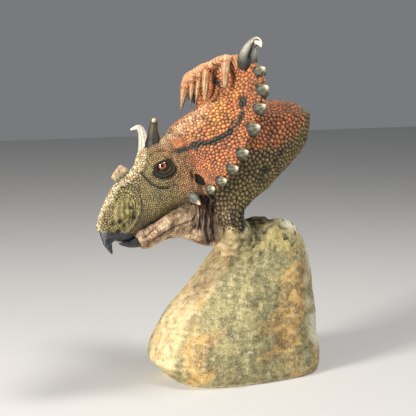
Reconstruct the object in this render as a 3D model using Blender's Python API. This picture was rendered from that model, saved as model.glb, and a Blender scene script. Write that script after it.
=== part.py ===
"""Painted resin display bust of a horned, frilled dinosaur on a rock-shaped base.

The bust is modelled in millimetres and stored in metres, with +Z up. The base stands on the plane z = 0,
centred on the origin, and the animal looks towards -X. The head has a frame of its own: F points to the
beak, L to the animal's left and U to the top of the skull, all three from the middle of the two eyes.
"""

import math

import bmesh
import bpy
import numpy as np
from mathutils import Matrix, Vector, noise

MM = 0.001
GAP = 0.36

# Driving dimensions, in millimetres and degrees
SKULL_LENGTH = 231.0
EYE_TO_BEAK = 84.8
EYE_TO_MARGIN = 122.0
FRILL_HALF_WIDTH = 66.0
EYE_HALF_SPAN = 19.5
EYE_RADIUS = 7.4
FRILL_EDGE_THICKNESS = 6.0
FRILL_ROOT_THICKNESS = 9.0
HEAD_PLACE = (-98.2, -12.0, 207.0)
HEAD_SCALE = 0.947
HEAD_TURN = 11.4
HEAD_NOD = 22.0
HEAD_TILT = 22.0

# Columns of the rock: height, front end, back end, half depth, squareness of the outline, middle in Y
ROCK_LEVELS = (
    (0, -73, 80.5, 56, 3.0, 0),
    (6, -80, 82.5, 58, 3.0, 0),
    (14, -88.5, 83, 59, 3.0, 0),
    (28, -88, 83, 58, 2.9, 0),
    (43, -82, 82, 56, 2.8, 0),
    (60, -71, 81, 54, 2.7, 0),
    (78, -56, 79.5, 51, 2.6, 0),
    (97, -39, 77, 48, 2.5, 0),
    (115, -23, 73, 45, 2.4, 0),
    (128, -15, 70, 41, 2.3, 0),
    (138, -12, 67, 37, 2.2, 0),
    (146, -8, 61, 32, 2.2, 0),
    (150.5, -4, 54, 26, 2.1, 0),
    (153, 4, 46, 18, 2.0, 0),
)
# The same columns for the neck
NECK_LEVELS = (
    (124, -20, 18, 23, 2.2, -3),
    (138, -29, 13, 26, 2.2, -7),
    (150, -41, 4, 28, 2.2, -10),
    (165, -51, -5, 29, 2.2, -12),
    (176, -57, 4, 30, 2.2, -12),
    (184, -61, 18, 31, 2.2, -11),
    (196, -65, 34, 34, 2.2, -9),
    (206, -66, 46, 37, 2.3, -7),
    (219, -66, 60, 40, 2.3, -4),
    (231, -62, 70, 42, 2.4, -2),
    (243, -52, 74.5, 43, 2.4, 0),
    (256, -38, 76, 42, 2.5, 0),
    (263, -27, 73.5, 38, 2.6, 0),
    (267.5, -17, 68, 32, 2.6, 0),
    (269.5, -8, 60, 24, 2.6, 0),
)


def line_through(keys):
    """A smooth curve through (position, value, ...) keys, as a function that gives an array of the values."""
    table = np.array(keys, float)
    at, values = table[:, 0], table[:, 1:]
    slopes = np.gradient(values, at, axis=0)

    def value(x):
        x = min(max(x, at[0]), at[-1])
        i = min(int(np.searchsorted(at, x, side="right")) - 1, len(at) - 2)
        span = at[i + 1] - at[i]
        t = (x - at[i]) / span
        near, far = values[i], values[i + 1]
        return (
            near * (2 * t**3 - 3 * t**2 + 1)
            + slopes[i] * span * (t**3 - 2 * t**2 + t)
            + far * (3 * t**2 - 2 * t**3)
            + slopes[i + 1] * span * (t**3 - t**2)
        )

    return value


def new_object(name, mesh, collection, material=None, pose=None):
    """An object in its collection, with its material, placed under the empty that poses it."""
    obj = bpy.data.objects.new(name, mesh)
    collection.objects.link(obj)
    if material:
        mesh.materials.append(material)
    if pose:
        obj.parent = pose
    return obj


def mesh_of(name, bm):
    """Closes the bmesh into a mesh in metres with every face pointing out."""
    bmesh.ops.recalc_face_normals(bm, faces=bm.faces)
    bmesh.ops.scale(bm, vec=(MM, MM, MM), verts=bm.verts)
    mesh = bpy.data.meshes.new(name)
    bm.to_mesh(mesh)
    bm.free()
    mesh.shade_smooth()
    return mesh


def loft(name, rings):
    """A closed body through rings of equally many points, with a fan over each end."""
    bm = bmesh.new()
    rows = [[bm.verts.new(point) for point in ring] for ring in rings]
    count = len(rows[0])
    for low, high in zip(rows, rows[1:]):
        for i in range(count):
            j = (i + 1) % count
            bm.faces.new((low[i], low[j], high[j], high[i]))
    for row in (rows[0], rows[-1]):
        middle = bm.verts.new(sum((v.co for v in row), Vector()) / count)
        for i in range(count):
            bm.faces.new((row[i], row[(i + 1) % count], middle))
    return mesh_of(name, bm)


def tube(name, path, radii, sides=12, steps=10, flat=1.0, across=(0, 1, 0)):
    """A horn: round sections along a smooth path, each as wide as its radius says.

    flat squeezes the sections at right angles to the direction given by across.
    """
    line = line_through([(i, *p) for i, p in enumerate(path)])
    width = line_through([(i, r) for i, r in enumerate(radii)])
    rings = []
    for step in range(steps + 1):
        at = step / steps * (len(path) - 1)
        here = Vector(line(at))
        ahead = Vector(line(at + 0.05)) - Vector(line(at - 0.05))
        side = Vector(across) - ahead * (Vector(across).dot(ahead) / ahead.length_squared)
        side.normalize()
        over = ahead.normalized().cross(side)
        radius = float(width(at)[0])
        turns = (2 * math.pi * k / sides for k in range(sides))
        rings.append([here + radius * (math.cos(a) * side + flat * math.sin(a) * over) for a in turns])
    return loft(name, rings)


def level_loft(name, levels, steps, sides, swell):
    """A body built up of level outlines, from one of the tables of levels."""
    line = line_through(levels)
    rings = []
    for step in range(steps + 1):
        height = levels[0][0] + (levels[-1][0] - levels[0][0]) * step / steps
        front, back, half_depth, square, middle = line(height)
        ring = []
        for k in range(sides):
            turn = 2 * math.pi * k / sides
            c, s = math.cos(turn), math.sin(turn)
            x = (front + back) / 2 + (back - front) / 2 * math.copysign(abs(c) ** (2 / square), c)
            y = middle + half_depth * math.copysign(abs(s) ** (2 / square), s)
            ring.append(swell(Vector((x, y, height))))
        rings.append(ring)
    return loft(name, rings)


def rock_swell(point):
    """Broad, worn hollows and swellings of the rock, none at its flat foot."""
    fade = min(point.z / 12, 1) * 4.0
    rough = noise.noise(point * 0.022 + Vector((3.1, 7.7, 1.3)))
    outward = Vector((point.x, point.y, 0)).normalized()
    return point + outward * rough * fade


def neck_swell(point):
    """Low folds round the neck."""
    rough = noise.noise(point * 0.03 + Vector((1.7, 2.2, 9.1)))
    return point + Vector((point.x - 20, point.y, 0)).normalized() * rough * 2.0


# Side view of the head: position along F, then the top line and the bottom line of the skin
HEAD_TOP = line_through(
    [(-46, 27), (-34, 27), (-20, 26.5), (-7, 24.5), (2, 20), (10, 14.5), (18, 12), (34, 9), (48, 4.8), (58, -1.5), (67.5, -7.7), (75.5, -14.8), (80, -19.6)]
)
HEAD_BOTTOM = line_through(
    [(-46, -34), (-30, -44), (-12, -47.5), (0, -43), (8, -41), (18, -41), (33, -42.5), (57, -43.5), (66, -40.5), (75, -35.5), (80, -27)]
)
# Half width, height of the widest place, squareness above it and below it
HEAD_WIDTH = line_through(
    [
        (-46, 28, -8, 2.4, 2.2),
        (-30, 31, -14, 2.5, 2.2),
        (-12, 29, -30, 2.4, 2.8),
        (0, 26, -28, 2.3, 3.0),
        (12, 22.5, -30, 1.9, 3.0),
        (28, 18.5, -31, 1.5, 3.0),
        (47, 15.5, -26, 1.4, 2.6),
        (60, 13.5, -24, 1.4, 2.4),
        (72, 9, -24, 1.6, 2.2),
        (80, 3.5, -24, 2.0, 2.0),
    ]
)
# Swellings of the face: place, radius, and how far the skin moves along F, L and U
HEAD_SWELLS = (
    ((0, 24, -2), 15, (0.0, 2.8, 0.0)),
    ((-9, 15, 18), 9, (0.0, 1.5, 4.0)),
    ((57, 13, -20), 15, (0.0, 3.6, 0.5)),
    ((-9, 28, -38), 9, (-1.0, 2.5, -1.5)),
    ((24, 15, -2), 9, (0.0, -2.2, 0.0)),
    ((14, 22, -24), 11, (0.0, 1.2, 0.0)),
)


def swell_of(f, l, u, swells):
    """How far the swellings move a point of the near half of a mirrored form."""
    moved = np.zeros(3)
    for place, radius, move in swells:
        apart = np.array((f, l, u)) - np.array(place)
        moved += math.exp(-float(apart @ apart) / radius**2) * np.array(move)
    return moved


def mirrored_loft(name, start, end, steps, sides, top, bottom, width, swells=()):
    """A body along F that is alike on both sides of the skull's middle plane."""
    rings = []
    for step in range(steps + 1):
        f = start + (end - start) * step / steps
        high, low = float(top(f)[0]), float(bottom(f)[0])
        half, wide_at, square_up, square_down = width(f)
        wide_at = min(max(wide_at, low + 0.5), high - 0.5)
        ring = []
        for k in range(sides):
            turn = 2 * math.pi * (k + 0.5) / sides
            c, s = math.cos(turn), math.sin(turn)
            square = square_up if c > 0 else square_down
            reach = high - wide_at if c > 0 else wide_at - low
            l = half * abs(s) ** (2 / square)
            u = wide_at + reach * math.copysign(abs(c) ** (2 / square), c)
            move = swell_of(f, l, u, swells)
            ring.append((f + move[0], math.copysign(l + move[1], s), u + move[2]))
        rings.append(ring)
    return loft(name, rings)


# The jaw with its throat skin: top line, bottom line, then half width and shape as for the head
JAW_TOP = line_through([(-40, -44), (-26, -40), (-12, -42), (8, -39.5), (33, -39), (46, -40), (53, -45)])
JAW_BOTTOM = line_through(
    [(-40, -88), (-30, -94), (-19, -96), (-10, -88.5), (-1, -77.5), (8, -70.5), (17, -66.3), (27, -63.8), (38, -63.2), (46, -62.8), (50, -59.5), (53, -55)]
)
JAW_WIDTH = line_through(
    [
        (-40, 10, -66, 2.2, 1.5),
        (-26, 19, -62, 2.2, 1.5),
        (-12, 24, -55, 2.4, 1.4),
        (8, 22, -53, 2.6, 1.6),
        (31, 14.5, -52, 2.6, 1.9),
        (46, 9.5, -51, 2.4, 2.2),
        (53, 7, -50, 2.2, 2.2),
    ]
)
BEAK_TOP = line_through([(54, -36), (70, -26), (77, -18.5), (80, -20), (82, -25), (84, -32), (84.8, -37)])
BEAK_BOTTOM = line_through([(54, -47.5), (60, -47), (66, -44.5), (74, -40), (77.5, -42), (80.3, -48.5), (82, -51.3), (83.4, -48), (84.8, -40)])
BEAK_WIDTH = line_through(
    [(54, 9, -40, 2, 2), (66, 10, -37, 2, 2), (74, 8, -34, 1.8, 1.8), (80, 4.4, -33, 1.6, 1.6), (82.5, 2.8, -36, 1.6, 1.6), (84.8, 1.0, -38, 1.6, 1.6)]
)
LOWER_BEAK_TOP = line_through([(47, -44), (57, -46), (66, -44.8), (70.5, -43.4)])
LOWER_BEAK_BOTTOM = line_through([(47, -59), (54.5, -57), (62, -53), (67.5, -48.2), (70.5, -44.6)])
LOWER_BEAK_WIDTH = line_through([(47, 7.5, -50, 2, 2), (57, 6.8, -49, 2, 2), (66, 4.2, -46.5, 2, 2), (70.5, 1.2, -44.2, 2, 2)])

# The frill's near half: place round the fan, then F, L and U. The root lies on the skull, the edge is free
FRILL_ROOT = line_through(
    [
        (0.00, -19, 27, -38),
        (0.12, -24, 27, -30),
        (0.30, -30, 26, -18),
        (0.45, -34, 26, -6),
        (0.60, -38, 24, 6),
        (0.72, -40, 21, 13),
        (0.82, -41, 15, 18),
        (0.90, -41, 8, 21),
        (1.00, -41, 0, 22),
    ]
)
FRILL_EDGE = line_through(
    [
        (0.00, -22, 42, -44),
        (0.12, -37, 49, -42),
        (0.30, -62, 57, -32),
        (0.45, -89, 64, -14),
        (0.60, -119, FRILL_HALF_WIDTH + 1, 13),
        (0.66, -128, FRILL_HALF_WIDTH + 1, 25),
        (0.72, -131, FRILL_HALF_WIDTH - 1, 37),
        (0.82, -130, 57, 55),
        (0.90, -128, 38, 63),
        (1.00, -EYE_TO_MARGIN, 0, 68),
    ]
)
# How deep the fan is hollowed at its upper face
FRILL_HOLLOW = line_through([(0.0, 1), (0.3, 3), (0.5, 7), (0.7, 14), (0.85, 20), (1.0, 20)])
HOLLOW_LEAN = 1.8


def frill_point(across, along):
    """A point of the frill's middle surface. across runs from the near lobe, 0, over the midline, 1, to 2."""
    near = min(across, 2 - across)
    root, edge = FRILL_ROOT(near), FRILL_EDGE(near)
    point = root + (edge - root) * along
    run = edge - root
    rim = FRILL_EDGE(min(near + 0.03, 1)) - FRILL_EDGE(near - 0.03)
    lean = np.cross(rim, run)
    length = float(np.linalg.norm(lean))
    up = lean / length if near < 0.985 and length > 0 else np.array((0.476, 0.0, 0.88))
    up = up if up @ np.array((0.2, 0.5, 1.0)) > 0 else -up
    depth = float(FRILL_HOLLOW(near)[0]) * math.sin(math.pi * along**HOLLOW_LEAN)
    point = point - up * depth
    if across > 1:
        point = point * np.array((1, -1, 1))
    return Vector(point)


def frill_normal(across, along):
    """The direction out of the frill's upper face."""
    step = 0.02
    ahead = frill_point(across, min(along + step, 1)) - frill_point(across, max(along - step, 0))
    side = frill_point(min(across + step, 2), along) - frill_point(max(across - step, 0), along)
    return ahead.cross(side).normalized()


def frill_mesh(name, sides=48, steps=11):
    """The frill as a thick fan with a rounded rim."""
    bm = bmesh.new()
    faces = {1: [], -1: []}
    middle = {}
    for i in range(sides + 1):
        across = 2 * i / sides
        for face in (1, -1):
            faces[face].append([])
        for j in range(steps + 1):
            along = j / steps
            point, out = frill_point(across, along), frill_normal(across, along)
            thick = FRILL_ROOT_THICKNESS + (FRILL_EDGE_THICKNESS - FRILL_ROOT_THICKNESS) * along
            for face in (1, -1):
                faces[face][i].append(bm.verts.new(point + out * face * thick / 2))
            on_rim = i in (0, sides) or j in (0, steps)
            if on_rim:
                ahead = (frill_point(across, 1) - frill_point(across, 0)).normalized() * ((j == steps) - (j == 0))
                side = frill_point(min(across + 0.02, 2), along) - frill_point(max(across - 0.02, 0), along)
                side = side.normalized() * ((i == sides) - (i == 0))
                middle[i, j] = bm.verts.new(point + (ahead + side).normalized() * thick / 2.6)
    for face in (1, -1):
        grid = faces[face]
        for i in range(sides):
            for j in range(steps):
                bm.faces.new((grid[i][j], grid[i + 1][j], grid[i + 1][j + 1], grid[i][j + 1]))
    rim = [(i, 0) for i in range(sides)] + [(sides, j) for j in range(steps)]
    rim += [(i, steps) for i in range(sides, 0, -1)] + [(0, j) for j in range(steps, 0, -1)]
    for (a, b), (c, d) in zip(rim, rim[1:] + rim[:1]):
        for face in (1, -1):
            bm.faces.new((faces[face][a][b], faces[face][c][d], middle[c, d], middle[a, b]))
    return mesh_of(name, bm)


def side_of(point, side):
    """The point on the near side, 1, or its mirror on the far side, -1."""
    return (point[0], point[1] * side, point[2])


# Edge studs of one side: place round the fan, length past the edge, radius
EDGE_STUDS = (
    (0.02, 5.0, 4.6),
    (0.115, 6.0, 5.0),
    (0.225, 6.5, 5.4),
    (0.330, 7.0, 5.6),
    (0.450, 8.0, 6.6),
    (0.535, 7.5, 6.0),
    (0.610, 7.0, 7.0),
    (0.700, 6.5, 6.2),
)
# Hooks over the frill's upper margin, each from inside the rolled margin to its tip, with the radii on the way
FRILL_HOOKS = (
    (
        ((-126, 37, 59), (-121.5, 38, 63), (-115.4, 41, 56.3), (-107.4, 43, 47.3), (-100.1, 43, 37.4)),
        (5.5, 6.0, 4.8, 2.9, 0.8),
    ),
    (
        ((-125.5, 17, 64), (-117, 15.5, 65.5), (-108.8, 13.2, 60.5), (-101.8, 12, 51), (-91.1, 12, 36.8)),
        (6.0, 6.2, 5.0, 3.2, 0.8),
    ),
    (
        ((-121, -4, 66), (-113.5, -6, 64.5), (-107.8, -7, 57.6), (-102, -8.3, 50.3), (-90.5, -9, 37.4)),
        (4.5, 3.4, 2.6, 2.0, 0.7),
    ),
    (
        ((-121, -19, 67), (-114.5, -21, 66), (-108.6, -21.5, 59.3), (-103.5, -22, 53.2), (-93.2, -22, 40.1)),
        (4.5, 3.6, 2.7, 2.1, 0.7),
    ),
    (
        ((-122.5, -36, 66), (-116.5, -40.5, 66.5), (-111.5, -42.5, 61), (-106.2, -44.2, 55.4), (-92.9, -46, 40.7)),
        (5.5, 5.0, 4.0, 2.9, 0.7),
    ),
)
STUD_SINK = 5.0
# The rolled margin that the hooks grow from, and its radius along the hooks; across them it is flatter
MARGIN_ROLL = (
    (-125, 41, 59.5),
    (-124, 36, 62.8),
    (-124, 24, 65.7),
    (-121.5, 12, 66.3),
    (-119.5, -4, 68.5),
    (-119, -20, 68.7),
    (-119.5, -32, 68.7),
    (-120.5, -40, 67),
    (-123.5, -46, 62.5),
)
ROLL_RADII = (3.5, 6.5, 8.0, 8.5, 8.5, 8.5, 8.5, 7.0, 3.5)
ROLL_FLAT = 0.62


def edge_stud(name, place, length, radius, side):
    """A blunt cone on the frill's edge, pointing out and a little down."""
    edge, inner = frill_point(place, 1), frill_point(place, 0.8)
    out = ((edge - inner).normalized() + Vector((-0.15, 0.55, -0.15))).normalized()
    path = [edge + out * reach for reach in (-STUD_SINK, length * 0.45, length)]
    return tube(name, [side_of(p, side) for p in path], (radius, radius * 0.78, radius * 0.2), sides=8, steps=3)


BROW_HORN = ((-10, 9, 17), (-15, 10, 26), (-20, 12, 35.5), (-23.5, 15.5, 42.5), (-23.5, 19.5, 45), (-20.5, 24.5, 45.5))
# The far horn of the cast stands a little taller and reaches further out
FAR_BROW_HORN = ((-10, 9, 17), (-15, 10, 27), (-20.5, 12, 37.5), (-24.3, 16.5, 44.3), (-25, 21.5, 48.2), (-21.3, 29, 49.8))
BROW_RADII = (8.2, 6.4, 4.7, 3.5, 2.4, 0.9)
CHEEK_HORN = ((-11, 23, -38), (-12, 28, -43.5), (-12, 31, -48), (-11.6, 33, -51.5))
CHEEK_RADII = (6.2, 5.6, 3.4, 0.8)
CORNER_HORN = (
    (-126, 50, 39),
    (-131, 57.5, 49.5),
    (-134.6, 63, 56.3),
    (-138.2, 67.5, 60.2),
    (-141, 72.8, 61.4),
    (-140.3, 77, 57.7),
    (-136.4, 80.7, 53.4),
)
CORNER_RADII = (7.5, 10.2, 8.8, 6.8, 5.2, 4.0, 1.8)


def nose_blade(name):
    """The low blade on the nose: a thin, forward-leaning plate with a rounded top."""
    outline = ((19, 5), (40, 2), (41, 15.5), (36.5, 18.6), (28.5, 21.8), (25, 22), (22, 17.5))
    half = 2.6
    rows = []
    for l, shrink in ((-half, 0.82), (-half * 0.45, 1.0), (half * 0.45, 1.0), (half, 0.82)):
        centre = Vector((30, 0, 8))
        rows.append([centre + (Vector((f, 0, u)) - centre) * shrink + Vector((0, l, 0)) for f, u in outline])
    return loft(name, rows)


def eye_ball(name, side, radius):
    """An eye, sunk in its socket."""
    bm = bmesh.new()
    bmesh.ops.create_uvsphere(bm, u_segments=16, v_segments=10, radius=radius)
    bmesh.ops.translate(bm, vec=(-4.0, EYE_HALF_SPAN * side, -0.5), verts=bm.verts)
    return mesh_of(name, bm)


def ear_pit(name, side):
    """The dark hollow behind the cheek, as a cutter."""
    bm = bmesh.new()
    bmesh.ops.create_uvsphere(bm, u_segments=12, v_segments=8, radius=1)
    bmesh.ops.scale(bm, vec=(5.0, 8.0, 11.0), verts=bm.verts)
    bmesh.ops.translate(bm, vec=(-23.0, 34.0 * side, -27.0), verts=bm.verts)
    return mesh_of(name, bm)


def painted(name, colour, roughness):
    """A plain material in the colour of the paint."""
    material = bpy.data.materials.new(name)
    material.use_nodes = True
    shader = material.node_tree.nodes["Principled BSDF"]
    shader.inputs["Base Color"].default_value = (*colour, 1)
    shader.inputs["Roughness"].default_value = roughness
    shader.inputs["Metallic"].default_value = 0.0
    return material


def keep_largest(mesh):
    """Drops every loose shell but the largest one."""
    bm = bmesh.new()
    bm.from_mesh(mesh)
    left, shells = set(bm.verts), []
    while left:
        reached, shell = [left.pop()], []
        while reached:
            vert = reached.pop()
            shell.append(vert)
            for edge in vert.link_edges:
                other = edge.other_vert(vert)
                if other in left:
                    left.remove(other)
                    reached.append(other)
        shells.append(shell)
    shells.sort(key=len)
    for shell in shells[:-1]:
        bmesh.ops.delete(bm, geom=shell, context="VERTS")
    bm.to_mesh(mesh)
    bm.free()


def apply_boolean(obj, others, operation):
    """Joins the other closed meshes to this one, or cuts them away, and keeps one body."""
    tools = bpy.data.collections.new("tools")
    for other in others:
        tools.objects.link(other)
    bpy.context.view_layer.update()
    boolean = obj.modifiers.new(operation.lower(), "BOOLEAN")
    boolean.operation = operation
    boolean.operand_type = "COLLECTION"
    boolean.collection = tools
    boolean.solver = "EXACT"
    graph = bpy.context.evaluated_depsgraph_get()
    mesh = bpy.data.meshes.new_from_object(obj.evaluated_get(graph))
    obj.modifiers.clear()
    old = obj.data
    obj.data = mesh
    bpy.data.meshes.remove(old)
    keep_largest(mesh)
    bpy.data.collections.remove(tools)


def grown(obj, collection, by=GAP):
    """A copy of a closed mesh, swollen along its normals, that cuts a neighbour clear of it."""
    copy = obj.copy()
    copy.data = obj.data.copy()
    copy.name = obj.name + "_grown"
    collection.objects.link(copy)
    for vert in copy.data.vertices:
        vert.co += vert.normal * by * MM
    return copy


def discard(objects):
    for obj in objects:
        bpy.data.objects.remove(obj)


def build():
    for obj in list(bpy.data.objects):
        bpy.data.objects.remove(obj)
    scene = bpy.context.scene
    bust = bpy.data.collections.new("horned_dinosaur_bust")
    cutters = bpy.data.collections.new("cutters")
    scene.collection.children.link(bust)
    scene.collection.children.link(cutters)
    cutters.hide_render = True

    green = painted("green_skin", (0.20, 0.19, 0.08), 0.6)
    orange = painted("orange_skin", (0.55, 0.24, 0.10), 0.6)
    pale = painted("throat_skin", (0.50, 0.40, 0.30), 0.6)
    stone = painted("painted_rock", (0.30, 0.26, 0.15), 0.8)
    horn = painted("horn", (0.32, 0.31, 0.27), 0.45)
    beak = painted("beak", (0.02, 0.03, 0.045), 0.3)
    glossy = painted("eye", (0.35, 0.07, 0.02), 0.1)

    pose = bpy.data.objects.new("head_pose", None)
    bust.objects.link(pose)
    pose.matrix_world = (
        Matrix.Translation(Vector(HEAD_PLACE) * MM)
        @ Matrix.Rotation(math.radians(180 + HEAD_TURN), 4, "Z")
        @ Matrix.Rotation(math.radians(HEAD_NOD), 4, "Y")
        @ Matrix.Rotation(math.radians(HEAD_TILT), 4, "X")
        @ Matrix.Scale(HEAD_SCALE, 4)
    )

    rock = new_object("stand_rock", level_loft("stand_rock", ROCK_LEVELS, 17, 34, rock_swell), bust, stone)
    neck = new_object("neck", level_loft("neck", NECK_LEVELS, 16, 32, neck_swell), bust, green)
    head_mesh = mirrored_loft("head", -46, 80, 30, 32, HEAD_TOP, HEAD_BOTTOM, HEAD_WIDTH, HEAD_SWELLS)
    head = new_object("head", head_mesh, bust, green, pose)
    jaw_mesh = mirrored_loft("lower_jaw", -40, 53, 19, 22, JAW_TOP, JAW_BOTTOM, JAW_WIDTH)
    jaw = new_object("lower_jaw", jaw_mesh, bust, pale, pose)
    frill = new_object("frill", frill_mesh("frill"), bust, orange, pose)
    upper_mesh = mirrored_loft("beak_upper", 54, 84.8, 16, 16, BEAK_TOP, BEAK_BOTTOM, BEAK_WIDTH)
    upper = new_object("beak_upper", upper_mesh, bust, beak, pose)
    lower_mesh = mirrored_loft("beak_lower", 47, 70.5, 9, 14, LOWER_BEAK_TOP, LOWER_BEAK_BOTTOM, LOWER_BEAK_WIDTH)
    lower = new_object("beak_lower", lower_mesh, bust, beak, pose)
    bpy.context.view_layer.update()

    spikes = []
    for side in (1, -1):
        for i, (place, length, radius) in enumerate(EDGE_STUDS):
            mesh = edge_stud(f"stud_{i}", place, length, radius, side)
            spikes.append(new_object(f"stud_{i}", mesh, cutters, orange, pose))
    for i, (path, radii) in enumerate(FRILL_HOOKS):
        mesh = tube(f"hook_{i}", path, radii, sides=8, steps=8)
        spikes.append(new_object(f"hook_{i}", mesh, cutters, orange, pose))
    roll = tube("margin_roll", MARGIN_ROLL, ROLL_RADII, sides=10, steps=21, flat=ROLL_FLAT, across=(1, 0, 0.25))
    spikes.append(new_object("margin_roll", roll, cutters, orange, pose))
    apply_boolean(frill, spikes, "UNION")
    discard(spikes)

    for side, word in ((1, "left"), (-1, "right")):
        socket = new_object(f"socket_{word}", eye_ball("socket", side, EYE_RADIUS + GAP), cutters, None, pose)
        pit = new_object(f"pit_{word}", ear_pit("pit", side), cutters, None, pose)
        apply_boolean(head, [socket, pit], "DIFFERENCE")
        discard([socket, pit])
        new_object(f"eye_{word}", eye_ball(f"eye_{word}", side, EYE_RADIUS), bust, glossy, pose)

    head_fat = grown(head, cutters)
    apply_boolean(frill, [head_fat], "DIFFERENCE")
    frill_fat = grown(frill, cutters)
    rock_fat = grown(rock, cutters)
    apply_boolean(jaw, [head_fat, frill_fat], "DIFFERENCE")
    jaw_fat = grown(jaw, cutters)
    apply_boolean(neck, [head_fat, frill_fat, rock_fat, jaw_fat], "DIFFERENCE")
    apply_boolean(upper, [head_fat, jaw_fat], "DIFFERENCE")
    upper_fat = grown(upper, cutters)
    frill_fatter = grown(frill, cutters, 2 * GAP)
    apply_boolean(lower, [head_fat, jaw_fat, upper_fat], "DIFFERENCE")

    for side, word in ((1, "left"), (-1, "right")):
        brow = BROW_HORN if side == 1 else FAR_BROW_HORN
        shapes = (
            ("brow_horn", brow, BROW_RADII, 0.9, head_fat),
            ("cheek_horn", CHEEK_HORN, CHEEK_RADII, 0.8, head_fat),
            ("corner_horn", CORNER_HORN, CORNER_RADII, 0.8, frill_fatter),
        )
        for name, path, radii, flat, host in shapes:
            mesh = tube(name, [side_of(p, side) for p in path], radii, sides=10, steps=10, flat=flat, across=(1, 0, 0))
            tip = new_object(f"{name}_{word}", mesh, bust, horn, pose)
            apply_boolean(tip, [host], "DIFFERENCE")
    nose = new_object("nose_horn", nose_blade("nose_horn"), bust, horn, pose)
    apply_boolean(nose, [head_fat], "DIFFERENCE")
    discard([head_fat, frill_fat, frill_fatter, rock_fat, jaw_fat, upper_fat])


build()
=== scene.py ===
import math

import bmesh
import bpy
import numpy as np
from mathutils import Matrix, Vector
from mathutils.bvhtree import BVHTree
from mathutils.kdtree import KDTree


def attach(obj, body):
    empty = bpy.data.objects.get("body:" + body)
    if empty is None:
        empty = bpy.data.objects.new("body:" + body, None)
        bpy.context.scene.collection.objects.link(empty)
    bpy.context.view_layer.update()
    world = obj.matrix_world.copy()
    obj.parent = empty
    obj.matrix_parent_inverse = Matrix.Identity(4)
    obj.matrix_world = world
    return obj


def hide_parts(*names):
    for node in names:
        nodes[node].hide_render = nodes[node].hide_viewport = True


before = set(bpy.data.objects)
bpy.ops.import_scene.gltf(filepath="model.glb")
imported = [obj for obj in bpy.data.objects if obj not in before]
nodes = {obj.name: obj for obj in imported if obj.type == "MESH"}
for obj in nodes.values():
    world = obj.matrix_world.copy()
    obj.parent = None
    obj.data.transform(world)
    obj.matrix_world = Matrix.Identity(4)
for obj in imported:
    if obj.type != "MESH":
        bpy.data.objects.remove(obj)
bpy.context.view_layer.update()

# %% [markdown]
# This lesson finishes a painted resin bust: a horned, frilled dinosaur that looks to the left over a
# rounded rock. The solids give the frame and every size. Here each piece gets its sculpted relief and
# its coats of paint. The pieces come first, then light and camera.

MM = 0.001

# %% [markdown]
# The head is turned and tipped, so a place such as the corner of the mouth is hard to give in the room.
# It could be read off with the 3-D cursor. Here the head has its own frame instead: fore points to the
# beak, left to the animal's left, up to the top of the skull. The far side is the same, mirrored.

# %% The head's own frame
HEAD_PLACE = np.array((-98.2, -12.0, 207.0))
HEAD_SCALE = 0.947
HEAD_TURN, HEAD_DIP, HEAD_TILT = 191.4, 22, 22
HEAD_AXES = np.array(
    Matrix.Rotation(math.radians(HEAD_TURN), 3, "Z")
    @ Matrix.Rotation(math.radians(HEAD_DIP), 3, "Y")
    @ Matrix.Rotation(math.radians(HEAD_TILT), 3, "X")
)
EYE = np.array((-4, 19.5, -0.5))


def in_head(points):
    """Places in millimetres, turned into forward, left and up in the head's frame."""
    return (points - HEAD_PLACE) @ HEAD_AXES / HEAD_SCALE


def in_room(points):
    """Places in the head's frame, turned back into millimetres in the room."""
    return HEAD_PLACE + HEAD_SCALE * np.asarray(points, float) @ HEAD_AXES.T


print("eye of the near side in mm:", in_room(EYE).round(1))

# %% [markdown]
# Three small tools shape all that follows: a soft step, smooth noise from a few sine waves, and the
# distance to a path. Noise nodes could draw such patterns, but these give a number for each point, which
# can move the surface as well as paint it.

# %% Soft steps, noise and paths
def step(low, high, value):
    """A smooth step from 0 at low to 1 at high."""
    t = np.clip((value - low) / (high - low), 0, 1)
    return t * t * (3 - 2 * t)


def wander(points, size, seed):
    """A smooth random field between about -1 and 1 whose features are this many millimetres across."""
    chance = np.random.default_rng(seed)
    total = 0
    for _ in range(7):
        way = chance.normal(size=3)
        way *= chance.uniform(0.6, 1.5) * 2 * np.pi / (size * 2.4) / np.linalg.norm(way)
        total = total + np.sin(points @ way + chance.uniform(0, 6.28))
    return total / 3.2


def near_path(points, path):
    """Distance from each point to a path of straight pieces, and how far along the path that is, 0 to 1."""
    path = np.asarray(path, float)
    best = np.full(len(points), 1e9)
    along = np.zeros(len(points))
    lengths = np.linalg.norm(np.diff(path, axis=0), axis=1)
    done = np.concatenate([[0], np.cumsum(lengths)])
    for start, end, length, before in zip(path, path[1:], lengths, done):
        t = np.clip((points - start) @ (end - start) / length**2, 0, 1)
        distance = np.linalg.norm(points - start - t[:, None] * (end - start), axis=1)
        closer = distance < best
        best[closer] = distance[closer]
        along[closer] = ((before + t * length) / done[-1])[closer]
    return best, along


print("a soft step, half way up:", step(0, 1, 0.5))

# %% [markdown]
# The head, frill, jaw and neck of the real bust are one casting with no seams. Booleans would leave
# sharp joints between the solids. A voxel Remesh melts them into one even surface, which can take fine
# relief everywhere. The surface is first moved out a little, so that remeshing doesn't thin it.

# %% Skin blank
# Millimetres: the side of a square, and how far the solids are moved out before remeshing.
VOXEL, GROW = 0.8, 0.3
SKIN_NODES = ("head", "frill", "lower_jaw", "neck", "eye_left", "eye_right")


def welded(name, grow):
    """The solid of one node as a bmesh in metres, with split corners joined and the surface moved out."""
    bm = bmesh.new()
    bm.from_mesh(nodes[name].data)
    bmesh.ops.remove_doubles(bm, verts=bm.verts, dist=1e-6)
    bm.normal_update()
    for vert in bm.verts:
        vert.co += vert.normal * grow * MM
    return bm


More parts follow.
